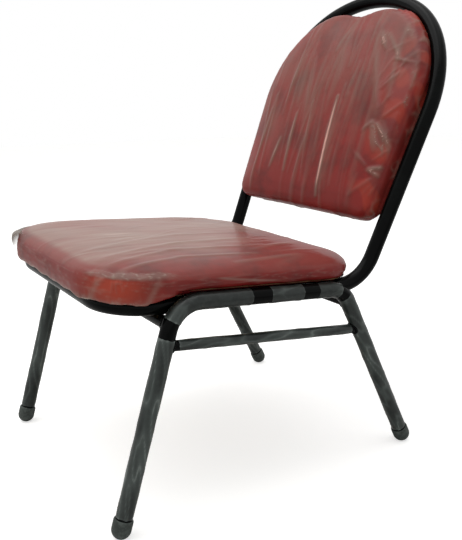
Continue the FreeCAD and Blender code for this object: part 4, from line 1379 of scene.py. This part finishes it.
@dataclass
class Stuffing:
    """How a pad's cover is filled: remeshed evenly, blown up as cloth, and smoothed."""

    voxel: float = 5 * MM
    pressure: float = 4.0
    frames: int = 20
    most: float = 5 * MM
    evened: int = 40

    def fill(self, pad: bpy.types.Object, held: Callable[[Array], Array]) -> None:
        """Swell a closed pad as cloth under pressure and keep the result.

        Args:
            pad: the pad's object; its mesh is replaced.
            held: a function of the points that says which of them are fixed to the board.
        """
        # The cover as it is cut, evenly meshed and a little relaxed
        remesh = pad.modifiers.new("even", "REMESH")
        remesh.mode = "VOXEL"
        remesh.voxel_size = self.voxel
        relax = pad.modifiers.new("relax", "SMOOTH")
        relax.factor = 0.5
        relax.iterations = 3
        self.keep(pad)
        self.swell(pad, held)
        finer = pad.modifiers.new("finer", "SUBSURF")
        finer.levels = finer.render_levels = 1
        self.keep(pad)
        pad.data.shade_smooth()

    def keep(self, pad: bpy.types.Object) -> None:
        """Replace the pad's mesh by what its modifiers make of it.

        Args:
            pad: the pad's object.
        """
        shape = bpy.data.meshes.new_from_object(pad.evaluated_get(bpy.context.evaluated_depsgraph_get()))
        pad.modifiers.clear()
        pad.data = shape

    def swell(self, pad: bpy.types.Object, held: Callable[[Array], Array]) -> None:
        """Run the cloth and let each point out along its normal as far as the cloth went, up to the most.

        A point that the cloth drew inwards stays where it was, so the pad is nowhere slimmer than its cut.

        Args:
            pad: the remeshed pad.
            held: a function of the points that says which of them are fixed to the board.
        """
        rest, normal = read_points(pad.data), read_points(pad.data, "normal")
        group = pad.vertex_groups.new(name="held")
        group.add(np.flatnonzero(held(rest)).tolist(), 1.0, "REPLACE")
        cloth = pad.modifiers.new("cloth", "CLOTH")
        cloth.settings.use_pressure = True
        cloth.settings.uniform_pressure_force = self.pressure
        cloth.settings.effector_weights.gravity = 0.0
        cloth.settings.vertex_group_mass = "held"
        cloth.settings.quality = 5
        cloth.collision_settings.use_collision = False
        scene = bpy.context.scene
        for number in range(1, self.frames + 1):
            scene.frame_set(number)
        moved = read_points(pad.evaluated_get(bpy.context.evaluated_depsgraph_get()).data)
        scene.frame_set(1)
        pad.modifiers.clear()
        pad.vertex_groups.clear()
        reach = spread(pad.data, np.clip(((moved - rest) * normal).sum(1), 0, self.most), self.evened)
        pad.data.vertices.foreach_set("co", (rest + reach[:, None] * normal).ravel())
        pad.data.update()
        log.info("%s swelled by up to %.1f mm", pad.name, reach.max() / MM)


def closed_pad(name: str, rings: Array, material: bpy.types.Material) -> bpy.types.Object:
    """A closed form from rings of points, with a flat cap on the first and the last ring.

    Args:
        name: the pad's name.
        rings: a grid of points, one ring in each row.
        material: its finish.

    Returns:
        The pad's object.
    """
    rows, columns = rings.shape[:2]
    faces = grid_faces(rows, columns).tolist()
    faces.append(list(range(columns))[::-1])
    faces.append(list(range((rows - 1) * columns, rows * columns)))
    return new_piece(name, rings, faces, material)


@dataclass
class SeatPad:
    """The seat: a filled cover in film, with a roll at its front, on a plywood board."""

    lines: ChairLines
    half_width: float = 0.232
    front: float = -0.3485
    rear: float = 0.1235
    front_corner: float = 0.110
    rear_corner: float = 0.085
    base: float = 13.0 * MM
    board: float = 10.3 * MM
    edge: float = 35.0 * MM
    crown: float = 10.0 * MM
    front_fall: float = 7.0 * MM
    drawn_in: float = 8.0 * MM
    hollow: float = 4.0 * MM
    flat_inset: float = 14.0 * MM
    roll_drop: float = 14.5 * MM
    roll_thickness: float = 13.0 * MM
    roll_bulge: float = 1.0 * MM
    roll_end: tuple[float, float] = (-0.200, -0.295)
    slack: float = 0.8 * MM
    columns: int = 260
    # Share of the edge's height and of the crown, inset as a share of drawn_in, and shrinking to the middle
    profile: tuple[tuple[float, float, float, float], ...] = (
        (0.2, 0.0, 0.35, 1.0), (0.45, 0.0, 0.0, 1.0), (0.65, 0.0, 0.1, 1.0), (0.82, 0.0, 0.6, 1.0),
        (0.93, 0.0, 1.2, 1.0), (1.0, 0.08, 2.2, 1.0), (1.0, 0.4, 0.0, 0.8), (1.0, 0.8, 0.0, 0.55),
        (1.0, 1.0, 0.0, 0.25), (1.0, 1.04, 0.0, 0.03))
    # The film stands off along the left edge, and hangs below the roll
    film_stand: float = 4.0 * MM
    film_hang: float = 3.5 * MM
    streak_rise: float = 0.8 * MM
    ridge_rise: float = 2.0 * MM
    # The crumpled front corners, and heights over the base of the painted highlights on the rim and along the
    # lower edge, and of the painted glow of the red
    crumpled: tuple[float, float] = (0.195, -0.312)
    crumpled_width: float = 0.045
    rim_height: float = 31.0 * MM
    seam_height: float = -12.5 * MM
    pale_width: float = 4.0 * MM
    glow_height: float = 8.0 * MM
    # Pale bands round the right front corner: angle and width in degrees, and how they lean with the height
    bands: tuple[tuple[float, float], ...] = ((-13, 2.6), (-58, 3.0))
    band_height: float = 15.0 * MM
    band_lean: float = 300.0
    # A pale fold that falls along the right side: a place on it by depth and height, its fall and its width
    slant_place: tuple[float, float] = (-0.155, 31.4 * MM)
    slant_fall: float = 0.101
    slant_width: float = 1.8 * MM
    # The hem's cross section in millimetres: inset, height over the base, and sag between rail and ring
    hem_inset: float = 4.0
    hem: tuple[tuple[float, float, float], ...] = (
        (0.0, 3.5, 0.0), (4.0, 1.2, 0.0), (8.0, 0.2, 0.0), (9.0, 0.0, 0.6), (11.0, 0.0, 2.0),
        (13.0, 0.0, 4.0), (15.5, 0.0, 5.5), (18.0, 0.0, 4.0), (22.0, 0.1, 0.0), (22.6, 0.7, 0.0),
        (22.0, 1.2, 0.0), (10.0, 2.4, 0.0))
    hem_fold: float = 22.0
    pucker: float = 0.35
    pucker_columns: int = 6
    # A staple's plan and the height of each of its points, in millimetres
    staple_plan: tuple[tuple[float, float], ...] = (
        (-5, -0.5), (-4, -0.5), (4, -0.5), (5, -0.5), (5, 0.5), (4, 0.5), (-4, 0.5), (-5, 0.5))
    staple_height: tuple[float, ...] = (0.3, -0.6, -0.6, 0.3, 0.3, -0.6, -0.6, 0.3)
    staple_wire: float = 0.5 * MM
    staple_inset: float = 19.5 * MM
    staple_pitch: int = 4
    # The loose film at the left front corner: its flat size, rows, reach, height and lap on the pad's top
    corner_cut: tuple[float, float] = (0.178, 0.073)
    corner_rows: int = 30
    corner_reach: float = 14.0 * MM
    corner_tuck: float = 2.0 * MM
    corner_height: float = 35.0 * MM
    corner_lap: float = 30.0 * MM

    def outline(self) -> tuple[Array, Array]:
        """The pad's rounded rectangle: straight sides between four arcs.

        Returns:
            Points and unit normals.
        """
        wide, front, rear = self.half_width, self.front, self.rear
        big, small = self.front_corner, self.rear_corner
        stations = np.concatenate([
            arc_points((-wide + big, front + big), big, 180, 270),
            arc_points((wide - big, front + big), big, 270, 360),
            arc_points((wide - small, rear - small), small, 0, 90),
            arc_points((-wide + small, rear - small), small, 90, 180)])
        return even_outline(stations, self.columns)

    def place(self, flat: Array, height: Array) -> Array:
        """Lay a ring of the pad on the rails: above the board it falls towards the front.

        Args:
            flat: places across and along the seat.
            height: height over the rails' plane.

        Returns:
            Points in the chair's frame.
        """
        board_top = self.base + self.board
        share = np.clip((height - board_top) / (self.base + self.edge - board_top), 0, 1)
        ahead = (self.rear - flat[:, 1]) / (self.rear - self.front)
        return self.lines.on_seat(flat[:, 0], flat[:, 1], height - self.front_fall * share * ahead)

    def rings(self, skin: float) -> Array:
        """The pad's rings from the middle of its underside, round its roll and side, to its top's middle.

        Each ring is the outline moved in along its normals, or shrunk to the middle, at a height. At the
        front the lower rings reach down round the roll, by a share that fades out round the corners.

        Args:
            skin: how much smaller the form is, before it is filled.

        Returns:
            A grid of points.
        """
        base, normal = self.outline()
        middle = np.array([0.0, (self.front + self.rear) / 2])
        roll = smooth_step(*self.roll_end, base[:, 1])
        floor = self.base + np.zeros(self.columns)
        rows = [self.place(middle + (base - middle) * shrink, floor + self.hollow) for shrink in (0.03, 0.5)]
        rows.append(self.place(base - (self.roll_thickness + self.flat_inset) * normal, floor + self.hollow))
        inner, outer = self.roll_thickness - skin, skin - self.roll_bulge
        for inset, down in ((inner + 2 * MM, 0.0), (inner, 0.25), (inner, 0.75), (inner - 3 * MM, 1.0),
                            (skin + 2 * MM, 1.0), (outer, 0.8), (outer, 0.3)):
            moved = (self.drawn_in + skin) * (1 - roll) + inset * roll
            height = floor + skin * (1 - roll) - self.roll_drop * roll * down + skin * roll * (down > 0.9)
            rows.append(self.place(base - moved[:, None] * normal, height))
        for rim, crown, inset, shrink in self.profile:
            tucked = self.drawn_in * inset
            moved = skin + (tucked * (1 - roll) + (tucked if rim > 0.4 else -self.roll_bulge) * roll)
            height = floor + skin + (self.edge - 2 * skin) * rim + self.crown * crown
            flat = middle + (base - moved[:, None] * normal - middle) * shrink
            rows.append(self.place(flat, height))
        return np.stack(rows)

    def build(self) -> None:
        """Make the filled pad, its film, its hem and its staples, and dress the board."""
        vinyl = FilmedVinyl().material()
        pad = closed_pad("seat_cushion", self.rings(self.slack), vinyl)
        Stuffing().fill(pad, self.on_board)
        self.film_over(pad)
        settle(pad, "red_vinyl", "seat_cover", "seat_foam")
        self.build_hem()
        self.build_staples()
        self.build_corner_film()
        finish(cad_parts["seat_board"], Plywood().material())

    def inset(self, points: Array) -> Array:
        """How far points lie inside the pad's outline: the distance to its nearest side or corner arc.

        Args:
            points: places in the chair's frame.

        Returns:
            Distances in metres.
        """
        across, depth = np.abs(points[:, 0]), points[:, 1]
        sides = np.minimum(self.half_width - across, np.minimum(depth - self.front, self.rear - depth))
        for corner, ahead in ((self.front_corner, self.front + self.front_corner - depth),
                              (self.rear_corner, depth - self.rear + self.rear_corner)):
            beside = across - self.half_width + corner
            sides = np.where((beside > 0) & (ahead > 0), corner - np.hypot(beside, ahead), sides)
        return sides

    def on_board(self, points: Array) -> Array:
        """Points of the underside and of the roll's inner face, which the board and the hem hold."""
        return (self.lines.seat_height(points) < self.base + 6 * MM) & (self.inset(points) > 5 * MM)

    def film_over(self, pad: bpy.types.Object) -> None:
        """Lay the wrinkled film over the filled pad, as rises along the normals, as haze and as warmth.

        The top has long waves from front to rear on its right half. The sides have folds along their length,
        the front corners are crumpled with painted highlights and a painted glow of the red, a painted
        highlight runs along the film's lower edge under the roll, and along the left edge the film stands off
        the pad.

        Args:
            pad: the filled pad.
        """
        points, normal = read_points(pad.data), read_points(pad.data, "normal")
        across, depth = points[:, 0], points[:, 1]
        height = self.lines.seat_height(points)
        top = smooth_step(0.4, 0.68, normal[:, 2])
        side = 1 - smooth_step(0.3, 0.75, np.abs(normal[:, 2]))
        rise, pale = SEAT_FILM.fields(points[:, :2])
        ridges = crests(crumple(points, 0.02, 11), 0.9) * np.clip(crumple(points, 0.03, 13), 0, 1)
        along_edge = np.column_stack([0.35 * across - 0.14 * depth, 0.35 * depth, 4.5 * height])
        streak = crests(crumple(along_edge, 0.03, 21), 1.2) ** 2
        corner = np.hypot(np.abs(across) - self.crumpled[0], depth - self.crumpled[1])
        corner = bell(corner, self.crumpled_width)
        left_edge = smooth_step(-0.12, -0.20, across) * smooth_step(0.08, -0.02, depth)
        lift = top * (rise + self.film_stand * left_edge)
        lift += side * (self.streak_rise * streak + self.ridge_rise * corner * ridges)
        hang = smooth_step(*self.roll_end, depth) * smooth_step(16 * MM, 0.0, height)
        hang *= self.film_hang * (1 + 0.22 * crumple(points[:, :2], 0.06, 17, 9))
        # Small folds that catch the light: painted highlights
        painted_glint = crests(crumple(points * np.array([1.0, 1.0, 2.4]), 0.03, 19), 0.5)
        haze = top * self.top_haze(points, pale)
        creased = 0.22 * streak ** 2 + 0.15 * corner * ridges
        haze += side * (self.edge_haze(points, height, corner, painted_glint) + creased)
        # A painted highlight along the film's lower edge under the roll, on faces that turn down
        seam = bell(height - self.base - self.seam_height, self.pale_width)
        seam *= smooth_step(*self.roll_end, depth)
        haze += 0.7 * seam * (0.45 + painted_glint) * smooth_step(0.4, 0.1, normal[:, 2])
        # Painted glow of the red round the front corners
        glow = side * corner * smooth_step(0.04, 0.0, np.abs(height - self.base - self.glow_height))
        points = points + lift[:, None] * normal - hang[:, None] * np.array([0.0, 0.0, 1.0])
        lay_film(pad, points, haze, 1.1 * glow)

    def top_haze(self, points: Array, pale: Array) -> Array:
        """How milky the film is on the pad's top.

        It is pale left of a border that slants to the left towards the rear, with broad clouds and narrow
        waves: partly milky film, and mostly a painted reflection of the bright room in the film's gloss.
        Along the front edge it is drawn tight and clear.

        Args:
            points: the pad's points.
            pale: the paleness of folds and crinkles.

        Returns:
            Haze, where 1 is a loose fold.
        """
        across, depth, flat = points[:, 0], points[:, 1], points[:, :2]
        broad = crumple(flat, 0.16, 31, 8)
        waves = crumple(flat * np.array([1.0, 0.22]), 0.022, 33)
        # The pale region left of the border: a painted reflection of the bright room, partly milky film
        border = 0.15 - 0.9 * np.clip(depth + 0.12, 0, None) + 0.012 * broad
        milk_and_reflection_share = smooth_step(0.065, -0.065, across - border)
        drawn = smooth_step(0.028, 0.014, self.inset(points)) * smooth_step(-0.20, -0.26, depth)
        milk_and_reflection_share *= 1 - 0.85 * drawn
        return 0.14 + (0.56 + 0.06 * broad + 0.05 * waves) * milk_and_reflection_share + pale * (1.2 - 0.6 * milk_and_reflection_share)

    def edge_haze(self, points: Array, height: Array, corner: Array, painted_glint: Array) -> Array:
        """How milky the film is round the pad's edge.

        The front corners have a pale rim with painted highlights. Two bands lean round the right front
        corner, as bells in the angle about its arc's centre, and one slants along the right side, as a bell
        in the height.

        Args:
            points: the pad's points.
            height: their height over the rails' plane.
            corner: how near they are to a front corner.
            painted_glint: where small folds catch the light, as painted highlights.

        Returns:
            Haze, where 1 is a loose fold.
        """
        across, depth = points[:, 0], points[:, 1]
        ahead = smooth_step(-0.25, -0.32, depth)
        # A painted highlight along the rim of the front corners, with glints
        rim = bell(height - self.base - self.rim_height, self.pale_width) * corner
        fall = self.slant_fall * (depth - self.slant_place[0])
        slant = bell(height - self.slant_place[1] + fall, self.slant_width)
        slant *= smooth_step(-0.175, -0.15, depth) * smooth_step(-0.01, -0.03, depth) * (across > 0.2)
        heading = np.degrees(np.arctan2(depth - self.front - self.front_corner,
                                        across - self.half_width + self.front_corner))
        leaning = heading - self.band_lean * (height - self.base - self.band_height)
        bands = sum(bell(leaning - angle, width) for angle, width in self.bands) * (across > 0.12)
        return 0.05 + 0.05 * ahead + rim * (0.35 + 0.6 * painted_glint) + 0.3 * bands + 0.45 * slant

    def build_hem(self) -> None:
        """The cover turned under the board: a strip that puckers at corners and sags beside the rails."""
        base, normal = self.outline()
        bend = np.abs(np.roll(normal, -3, 0) - np.roll(normal, 3, 0)).sum(1)
        wave = np.cos(np.arange(self.columns) * 2 * math.pi / self.pucker_columns)
        pucker = self.pucker * smooth_step(0.04, 0.12, bend) * wave
        loose = smooth_step(0.02, -0.05, base[:, 1])
        rows = []
        for inset, lift, sag in self.hem:
            height = self.base + (lift - sag * loose + pucker * (inset < self.hem_fold)) * MM
            rows.append(self.place(base - (inset + self.hem_inset) * MM * normal, height))
        strip = new_piece("seat_cover_hem", np.stack(rows[::-1]), grid_faces(len(rows), self.columns),
                          Leathercloth().material())
        settle(strip, "red_vinyl")

    def build_staples(self) -> None:
        """A row of wire staples through the hem: each is a flat bar across two bent ends."""
        base, normal = self.outline()
        chosen = np.arange(0, self.columns, self.staple_pitch)
        outward = normal[chosen]
        along = np.column_stack([-outward[:, 1], outward[:, 0]])
        plan = np.array(self.staple_plan) * MM
        height = self.base + np.tile(np.array(self.staple_height) * MM, len(chosen))
        flat = (base[chosen] - self.staple_inset * outward)[:, None]
        flat = flat + plan[None, :, :1] * along[:, None] + plan[None, :, 1:] * outward[:, None]
        lower = self.place(flat.reshape(-1, 2), height)
        upper = self.place(flat.reshape(-1, 2), height + self.staple_wire)
        points = np.stack([lower.reshape(-1, 8, 3), upper.reshape(-1, 8, 3)], axis=1)
        pattern = [[0, 1, 6, 7], [1, 2, 5, 6], [2, 3, 4, 5]]
        pattern += [[15, 14, 9, 8], [14, 13, 10, 9], [13, 12, 11, 10]]
        pattern += [[edge + 8, (edge + 1) % 8 + 8, (edge + 1) % 8, edge] for edge in range(8)]
        faces = (np.array(pattern)[None] + 16 * np.arange(len(chosen))[:, None, None]).reshape(-1, 4)
        staples = new_piece("seat_staples", points, faces, ZincPlate().material())
        settle(staples, "bare_steel")

    def build_corner_film(self) -> None:
        """Loose film that bulges off the left front corner.

        It goes up from the roll's foot to the pad's rim and then laps on the top. The corner's arc is moved
        out by a bulge in both directions, with small waves, and the film fades into the pad on all sides.
        """
        base, normal = self.outline()
        angle = np.degrees(np.arctan2(normal[:, 1], normal[:, 0]))
        chosen = np.flatnonzero((angle > -179.5) & (angle < -91))
        up = np.linspace(0, 1, self.corner_rows)
        high, around = np.meshgrid(up, np.linspace(0, 1, len(chosen)), indexing="ij")
        bulge = np.sin(math.pi * around) ** 0.6
        bulge *= smooth_step(-0.35, 0.42, high) * smooth_step(1.1, 0.55, high)
        wave = crumple(np.stack([around * 0.16, high * 0.05], axis=-1), 0.03, 8)
        out = self.corner_reach * bulge + 0.8 * MM * bulge * wave - self.corner_tuck
        foot = 1.0 * MM - 12.0 * MM * smooth_step(*self.roll_end, base[chosen, 1])
        over = smooth_step(0.55, 1.0, high)
        height = self.base + foot + (self.corner_height - foot) * np.minimum(1.0, high / 0.7) - 4 * MM * over
        flat = base[chosen] - (self.corner_lap * over - out)[..., None] * normal[chosen]
        points = self.place(flat.reshape(-1, 2), height.ravel())
        faces = grid_faces(self.corner_rows, len(chosen), closed=False)
        film = new_piece("seat_corner_film", points, faces, ClearFilm().material())
        fade = smooth_step(1.0, 0.6, high) * smooth_step(0.08, 0.45, high)
        fade *= smooth_step(0.0, 0.25, around) * smooth_step(1.0, 0.75, around)
        write_attribute(film.data, "haze", np.clip(fade * (0.95 - 0.15 * bulge + 0.04 * wave), 0, 1).ravel())
        settle(film, "red_vinyl")


@dataclass
class BackPad:
    """The backrest: a filled cover in film inside the hoop, closed by a panel at its rear."""

    lines: ChairLines
    half_width: float = 0.2095
    bottom: float = 0.102
    top: float = 0.496
    low_corner: float = 0.028
    shoulder: float = 0.170
    crown_radius: float = 0.420
    base: float = -0.9 * MM
    edge: float = 37.0 * MM
    crown: float = 10.0 * MM
    drawn_in: float = 8.0 * MM
    # The top's sag and the fuller right shoulder: each is so high, at a place across, and so wide
    dip: float = 14.0 * MM
    dip_across: float = 4.0 * MM
    dip_width: float = 0.040
    loose_shoulder: float = 6.0 * MM
    loose_across: float = 0.105
    loose_width: float = 0.045
    tube_gap: float = 0.5 * MM
    most_let_out: float = 9.0 * MM
    ridge_rise: float = 1.4 * MM
    tight_film: FilmedVinyl = FilmedVinyl(
        name="red_vinyl_under_tight_film", red="#861b19", milk_and_reflection="#7f6054", painted_glint="#e2ac9f")
    slack: float = 0.8 * MM
    columns: int = 240
    # Share of the edge's depth and of the crown, inset as a share of drawn_in, and shrinking to the middle
    profile: tuple[tuple[float, float, float, float], ...] = (
        (0.0, 0.0, 0.35, 1.0), (0.2, 0.0, 0.1, 1.0), (0.45, 0.0, 0.0, 1.0), (0.65, 0.0, 0.0, 1.0),
        (0.85, 0.0, 0.2, 1.0), (0.95, 0.0, 0.6, 1.0), (1.0, 0.06, 1.4, 1.0), (1.0, 0.4, 0.0, 0.8),
        (1.0, 0.8, 0.0, 0.55), (1.0, 1.0, 0.0, 0.25), (1.0, 1.04, 0.0, 0.03))

    def outline(self, sunk: float = 1.0) -> tuple[Array, Array]:
        """The pad's outline: sides along the uprights, tight lower corners, and a three-centred top.

        The top's middle sags a little, and the right shoulder is fuller, each as a bell in the place across.

        Args:
            sunk: share of the sag.

        Returns:
            Points and unit normals.
        """
        across = self.half_width - self.shoulder
        crown_rise = self.top - self.crown_radius
        rise = crown_rise + math.sqrt((self.crown_radius - self.shoulder) ** 2 - across ** 2)
        join = math.degrees(math.atan2(rise - crown_rise, across))
        lean = math.degrees(self.lines.upright_lean())
        turn = math.radians(lean - 90)
        inner = self.shoulder - self.low_corner
        spring = (across + inner * math.cos(turn), rise + inner * math.sin(turn))
        low = self.bottom + self.low_corner
        corner = spring[0] - (spring[1] - low) / math.tan(math.radians(lean))
        right = [arc_points((corner, low), self.low_corner, -90, lean - 90),
                 arc_points((across, rise), self.shoulder, lean - 90, join)]
        crown = arc_points((0.0, crown_rise), self.crown_radius, join, 180 - join)
        left = [part[::-1] * np.array([-1, 1]) for part in right[::-1]]
        points, normal = even_outline(np.concatenate([*right, crown, *left]), self.columns)
        sag = self.dip * bell(points[:, 0] - self.dip_across, self.dip_width)
        points[:, 1] -= sunk * sag * (points[:, 1] > 0.4)
        loose = self.loose_shoulder * bell(points[:, 0] - self.loose_across, self.loose_width)
        loose *= points[:, 1] > 0.35
        return points + loose[:, None] * normal, normal

    def rings(self, skin: float) -> Array:
        """The pad's rings from the middle of its rear, round its side, to the middle of its front.

        Each ring is the outline moved in along its normals, or shrunk to the middle, at a distance ahead.

        Args:
            skin: how much smaller the form is, before it is filled.

        Returns:
            A grid of points.
        """
        middle = np.array([0.0, (self.bottom + self.top) / 2])
        rows = []
        for shrink in (0.03, 0.5, 0.9):
            flat = middle + (self.outline(0.0)[0] - middle) * shrink
            rows.append(self.lines.on_hoop(flat[:, 0], flat[:, 1], np.full(self.columns, self.base + skin)))
        for rim, crown, inset, shrink in self.profile:
            outline, normal = self.outline(min(1.0, 1.5 * rim))
            flat = middle + (outline - (skin + self.drawn_in * inset) * normal - middle) * shrink
            ahead = self.base + skin + (self.edge - 2 * skin) * rim + self.crown * crown
            rows.append(self.lines.on_hoop(flat[:, 0], flat[:, 1], np.full(self.columns, ahead)))
        return np.stack(rows)

    def build(self) -> None:
        """Make the filled pad with its film, and dress the panel and the board behind it."""
        vinyl = self.tight_film.material()
        pad = closed_pad("back_cushion", self.rings(self.slack), vinyl)
        Stuffing().fill(pad, self.on_board)
        self.film_over(pad)
        settle(pad, "red_vinyl", "back_cover", "back_foam")
        finish(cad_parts["back_rear_panel"], Leathercloth().material())
        finish(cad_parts["back_board"], Plywood().material())

    def on_board(self, points: Array) -> Array:
        """Points of the rear face, which the board holds."""
        return self.lines.from_hoop(points)[2] < self.base + 6 * MM

    def film_over(self, pad: bpy.types.Object) -> None:
        """Lay the wrinkled film over the filled pad, as rises along the normals, as haze and as warmth.

        The front has long upright folds that are drawn tight from the top, whose pale streaks are painted
        highlights, and it is paler towards the top: milky film with a painted reflection of the light from
        above.
        The sides and the right edge are crumpled with painted highlights, and the right edge has patches of
        painted glow.

        Args:
            pad: the filled pad.
        """
        points, normal = read_points(pad.data), read_points(pad.data, "normal")
        across, rise, _ = self.lines.from_hoop(points)
        face = np.column_stack([across, rise])
        facing = normal @ self.lines.hoop_ahead()
        front = smooth_step(0.4, 0.9, facing)
        side = 1 - smooth_step(0.25, 0.75, np.abs(facing))
        lift, pale = BACK_FILM.fields(face)
        ridges = crests(crumple(points, 0.024, 41), 0.9) * np.clip(crumple(points, 0.04, 43), 0, 1)
        broad = 0.5 + 0.1 * crumple(face * np.array([1.0, 0.3]), 0.05, 51, 10)
        # Paler towards the top: milky film and a painted reflection of the light from above
        upper = smooth_step(0.16, 0.42, rise + 0.5 * (0.05 - across))
        rim = front * smooth_step(0.028, 0.010, self.half_width - np.abs(across))
        haze = front * (0.05 + 0.5 * upper * broad + 0.1 * broad + 1.1 * pale)
        # Crumples on the sides and the right rim are pale: painted highlights
        haze += side * (0.12 + 0.6 * ridges) + 0.4 * rim * ridges
        points = points + (front * lift + side * self.ridge_rise * ridges)[:, None] * normal
        points = self.against_tube(points, normal)
        # Patches of painted glow along the right edge
        edge = np.maximum(side * (across > 0), front * smooth_step(0.12, 0.18, across))
        patch = smooth_step(-0.2, 0.9, crumple(points * np.array([1.0, 1.0, 0.5]), 0.035, 47))
        lay_film(pad, points, haze, 0.4 * edge * patch)

    def against_tube(self, points: Array, normal: Array) -> Array:
        """Let the film out sideways, at the pad's rear edge, until it lies against the hoop's tube.

        A point goes out along its normal's share in the hoop's plane, by its distance from the hoop's axis
        less the tube's half thickness there. Points at the top's middle stay, and so do those before the
        tube, but the right shoulder's film goes out further ahead.

        Args:
            points: the pad's points.
            normal: their normals.

        Returns:
            The moved points.
        """
        across, rise, ahead = self.lines.from_hoop(points)
        radius = self.lines.tube_radius + self.tube_gap
        half = np.sqrt(np.clip(radius ** 2 - ahead ** 2, 0, None))
        room = np.clip(self.lines.inside_hoop(across, rise) - half, 0, self.most_let_out)
        near = smooth_step(9 * MM, 5 * MM, ahead) * smooth_step(0.06, 0.10, np.abs(across))
        near *= smooth_step(self.bottom + 8 * MM, self.bottom + 30 * MM, rise)
        by_shoulder = smooth_step(38 * MM, 20 * MM, ahead) * smooth_step(0.01, 0.14, across)
        near = np.maximum(near, by_shoulder * smooth_step(0.30, 0.40, rise))
        near *= smooth_step(0.2, 0.6, np.hypot(normal[:, 0], normal[:, 2]))
        near *= smooth_step(0.2, 0.6, np.abs(normal[:, 0]))
        way = normal - (normal @ self.lines.hoop_ahead())[:, None] * self.lines.hoop_ahead()
        way /= np.maximum(np.linalg.norm(way, axis=1, keepdims=True), 1e-6)
        return points + (room * near)[:, None] * way


@dataclass
class Fasteners:
    """Screws, tee nuts and the joint sleeve, in plain zinc plate."""

    names: tuple[str, ...] = ("seat_tee_nuts", "seat_screws", "back_tee_nuts", "back_screws",
                              "main_tube_joint_sleeve")

    def dress(self) -> None:
        """Give the small steel solids their plating."""
        zinc = ZincPlate().material()
        for name in self.names:
            finish(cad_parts[name], zinc)


# Studio

@dataclass(frozen=True)
class Lamp:
    """A square soft lamp: where it hangs, what it points at, its side in metres and its power in watts."""

    name: str
    place: tuple[float, float, float]
    aim: tuple[float, float, float]
    size: float
    power: float

    def build(self) -> None:
        """Hang the lamp, turned so that its face looks at its aim."""
        light = bpy.data.lights.new(self.name, "AREA")
        light.energy = self.power
        light.size = self.size
        lamp = bpy.data.objects.new(self.name, light)
        lamp.location = self.place
        away = np.array(self.place) - np.array(self.aim)
        flat = math.hypot(away[0], away[1])
        lamp.rotation_euler = (math.atan2(flat, away[2]), 0.0, math.atan2(away[0], -away[1]))
        bpy.context.scene.collection.objects.link(lamp)


@dataclass
class Studio:
    """A white floor under soft light, and the camera."""

    eye: tuple[float, float, float] = (1.071, -0.6878, 0.6341)
    turn: tuple[float, float, float] = (75.6053, 0.0, 57.1462)
    lens: float = 47.3718
    sensor: float = 36.0
    floor_size: float = 14.0
    room_light: float = 0.42
    lamps: tuple[Lamp, ...] = (
        Lamp("key_lamp", (-0.6, -0.7, 2.6), (0.0, 0.0, 0.45), 2.4, 36),
        Lamp("top_lamp", (0.2, 0.2, 2.7), (0.0, 0.05, 0.4), 2.0, 13))

    def build(self) -> None:
        """Set up the camera, the floor, the world and the lamps."""
        scene = bpy.context.scene
        scene.view_settings.view_transform = "Standard"
        camera = bpy.data.objects.new("camera", bpy.data.cameras.new("camera"))
        camera.data.lens = self.lens
        camera.data.sensor_width = self.sensor
        camera.location = self.eye
        camera.rotation_euler = [math.radians(angle) for angle in self.turn]
        scene.collection.objects.link(camera)
        scene.camera = camera
        self.build_floor()
        self.build_world()
        for lamp in self.lamps:
            lamp.build()

    def build_floor(self) -> None:
        """A wide pale plane that keeps the shadow and otherwise runs into the white background."""
        half = self.floor_size / 2
        corners = np.array([(-half, -half, 0), (half, -half, 0), (half, half, 0), (-half, half, 0)])
        floor = new_piece("floor", corners, [[0, 1, 2, 3]], StudioFloor().material())

    def build_world(self) -> None:
        """A white background for the eye and for reflections, and a softer one that lights the chair."""
        world = bpy.data.worlds.new("studio")
        bpy.context.scene.world = world
        world.use_nodes = True
        tree = world.node_tree
        tree.nodes.clear()
        path = add(tree, "LightPath").outputs
        seen = add(tree, "Math", {"operation": "MAXIMUM"}, {
            0: path["Is Camera Ray"], 1: path["Is Transmission Ray"]}).outputs[0]
        shown = add(tree, "Math", {"operation": "MAXIMUM"}, {0: seen, 1: path["Is Glossy Ray"]}).outputs[0]
        strength = add(tree, "MapRange", None, {
            "Value": shown, "To Min": self.room_light, "To Max": 1.0}).outputs["Result"]
        light = add(tree, "Background", None, {"Color": WHITE, "Strength": strength}).outputs["Background"]
        add(tree, "OutputWorld", None, {"Surface": light})


def main() -> None:
    """Build and dress the chair piece by piece, and set up the studio."""
    logging.basicConfig(level=logging.INFO, format="%(name)s %(message)s")
    lines = ChairLines()
    TubeFrame(lines).dress()
    LegFilm(lines).build()
    SeatPad(lines).build()
    BackPad(lines).build()
    Fasteners().dress()
    Studio().build()


if __name__ == "__main__":
    main()
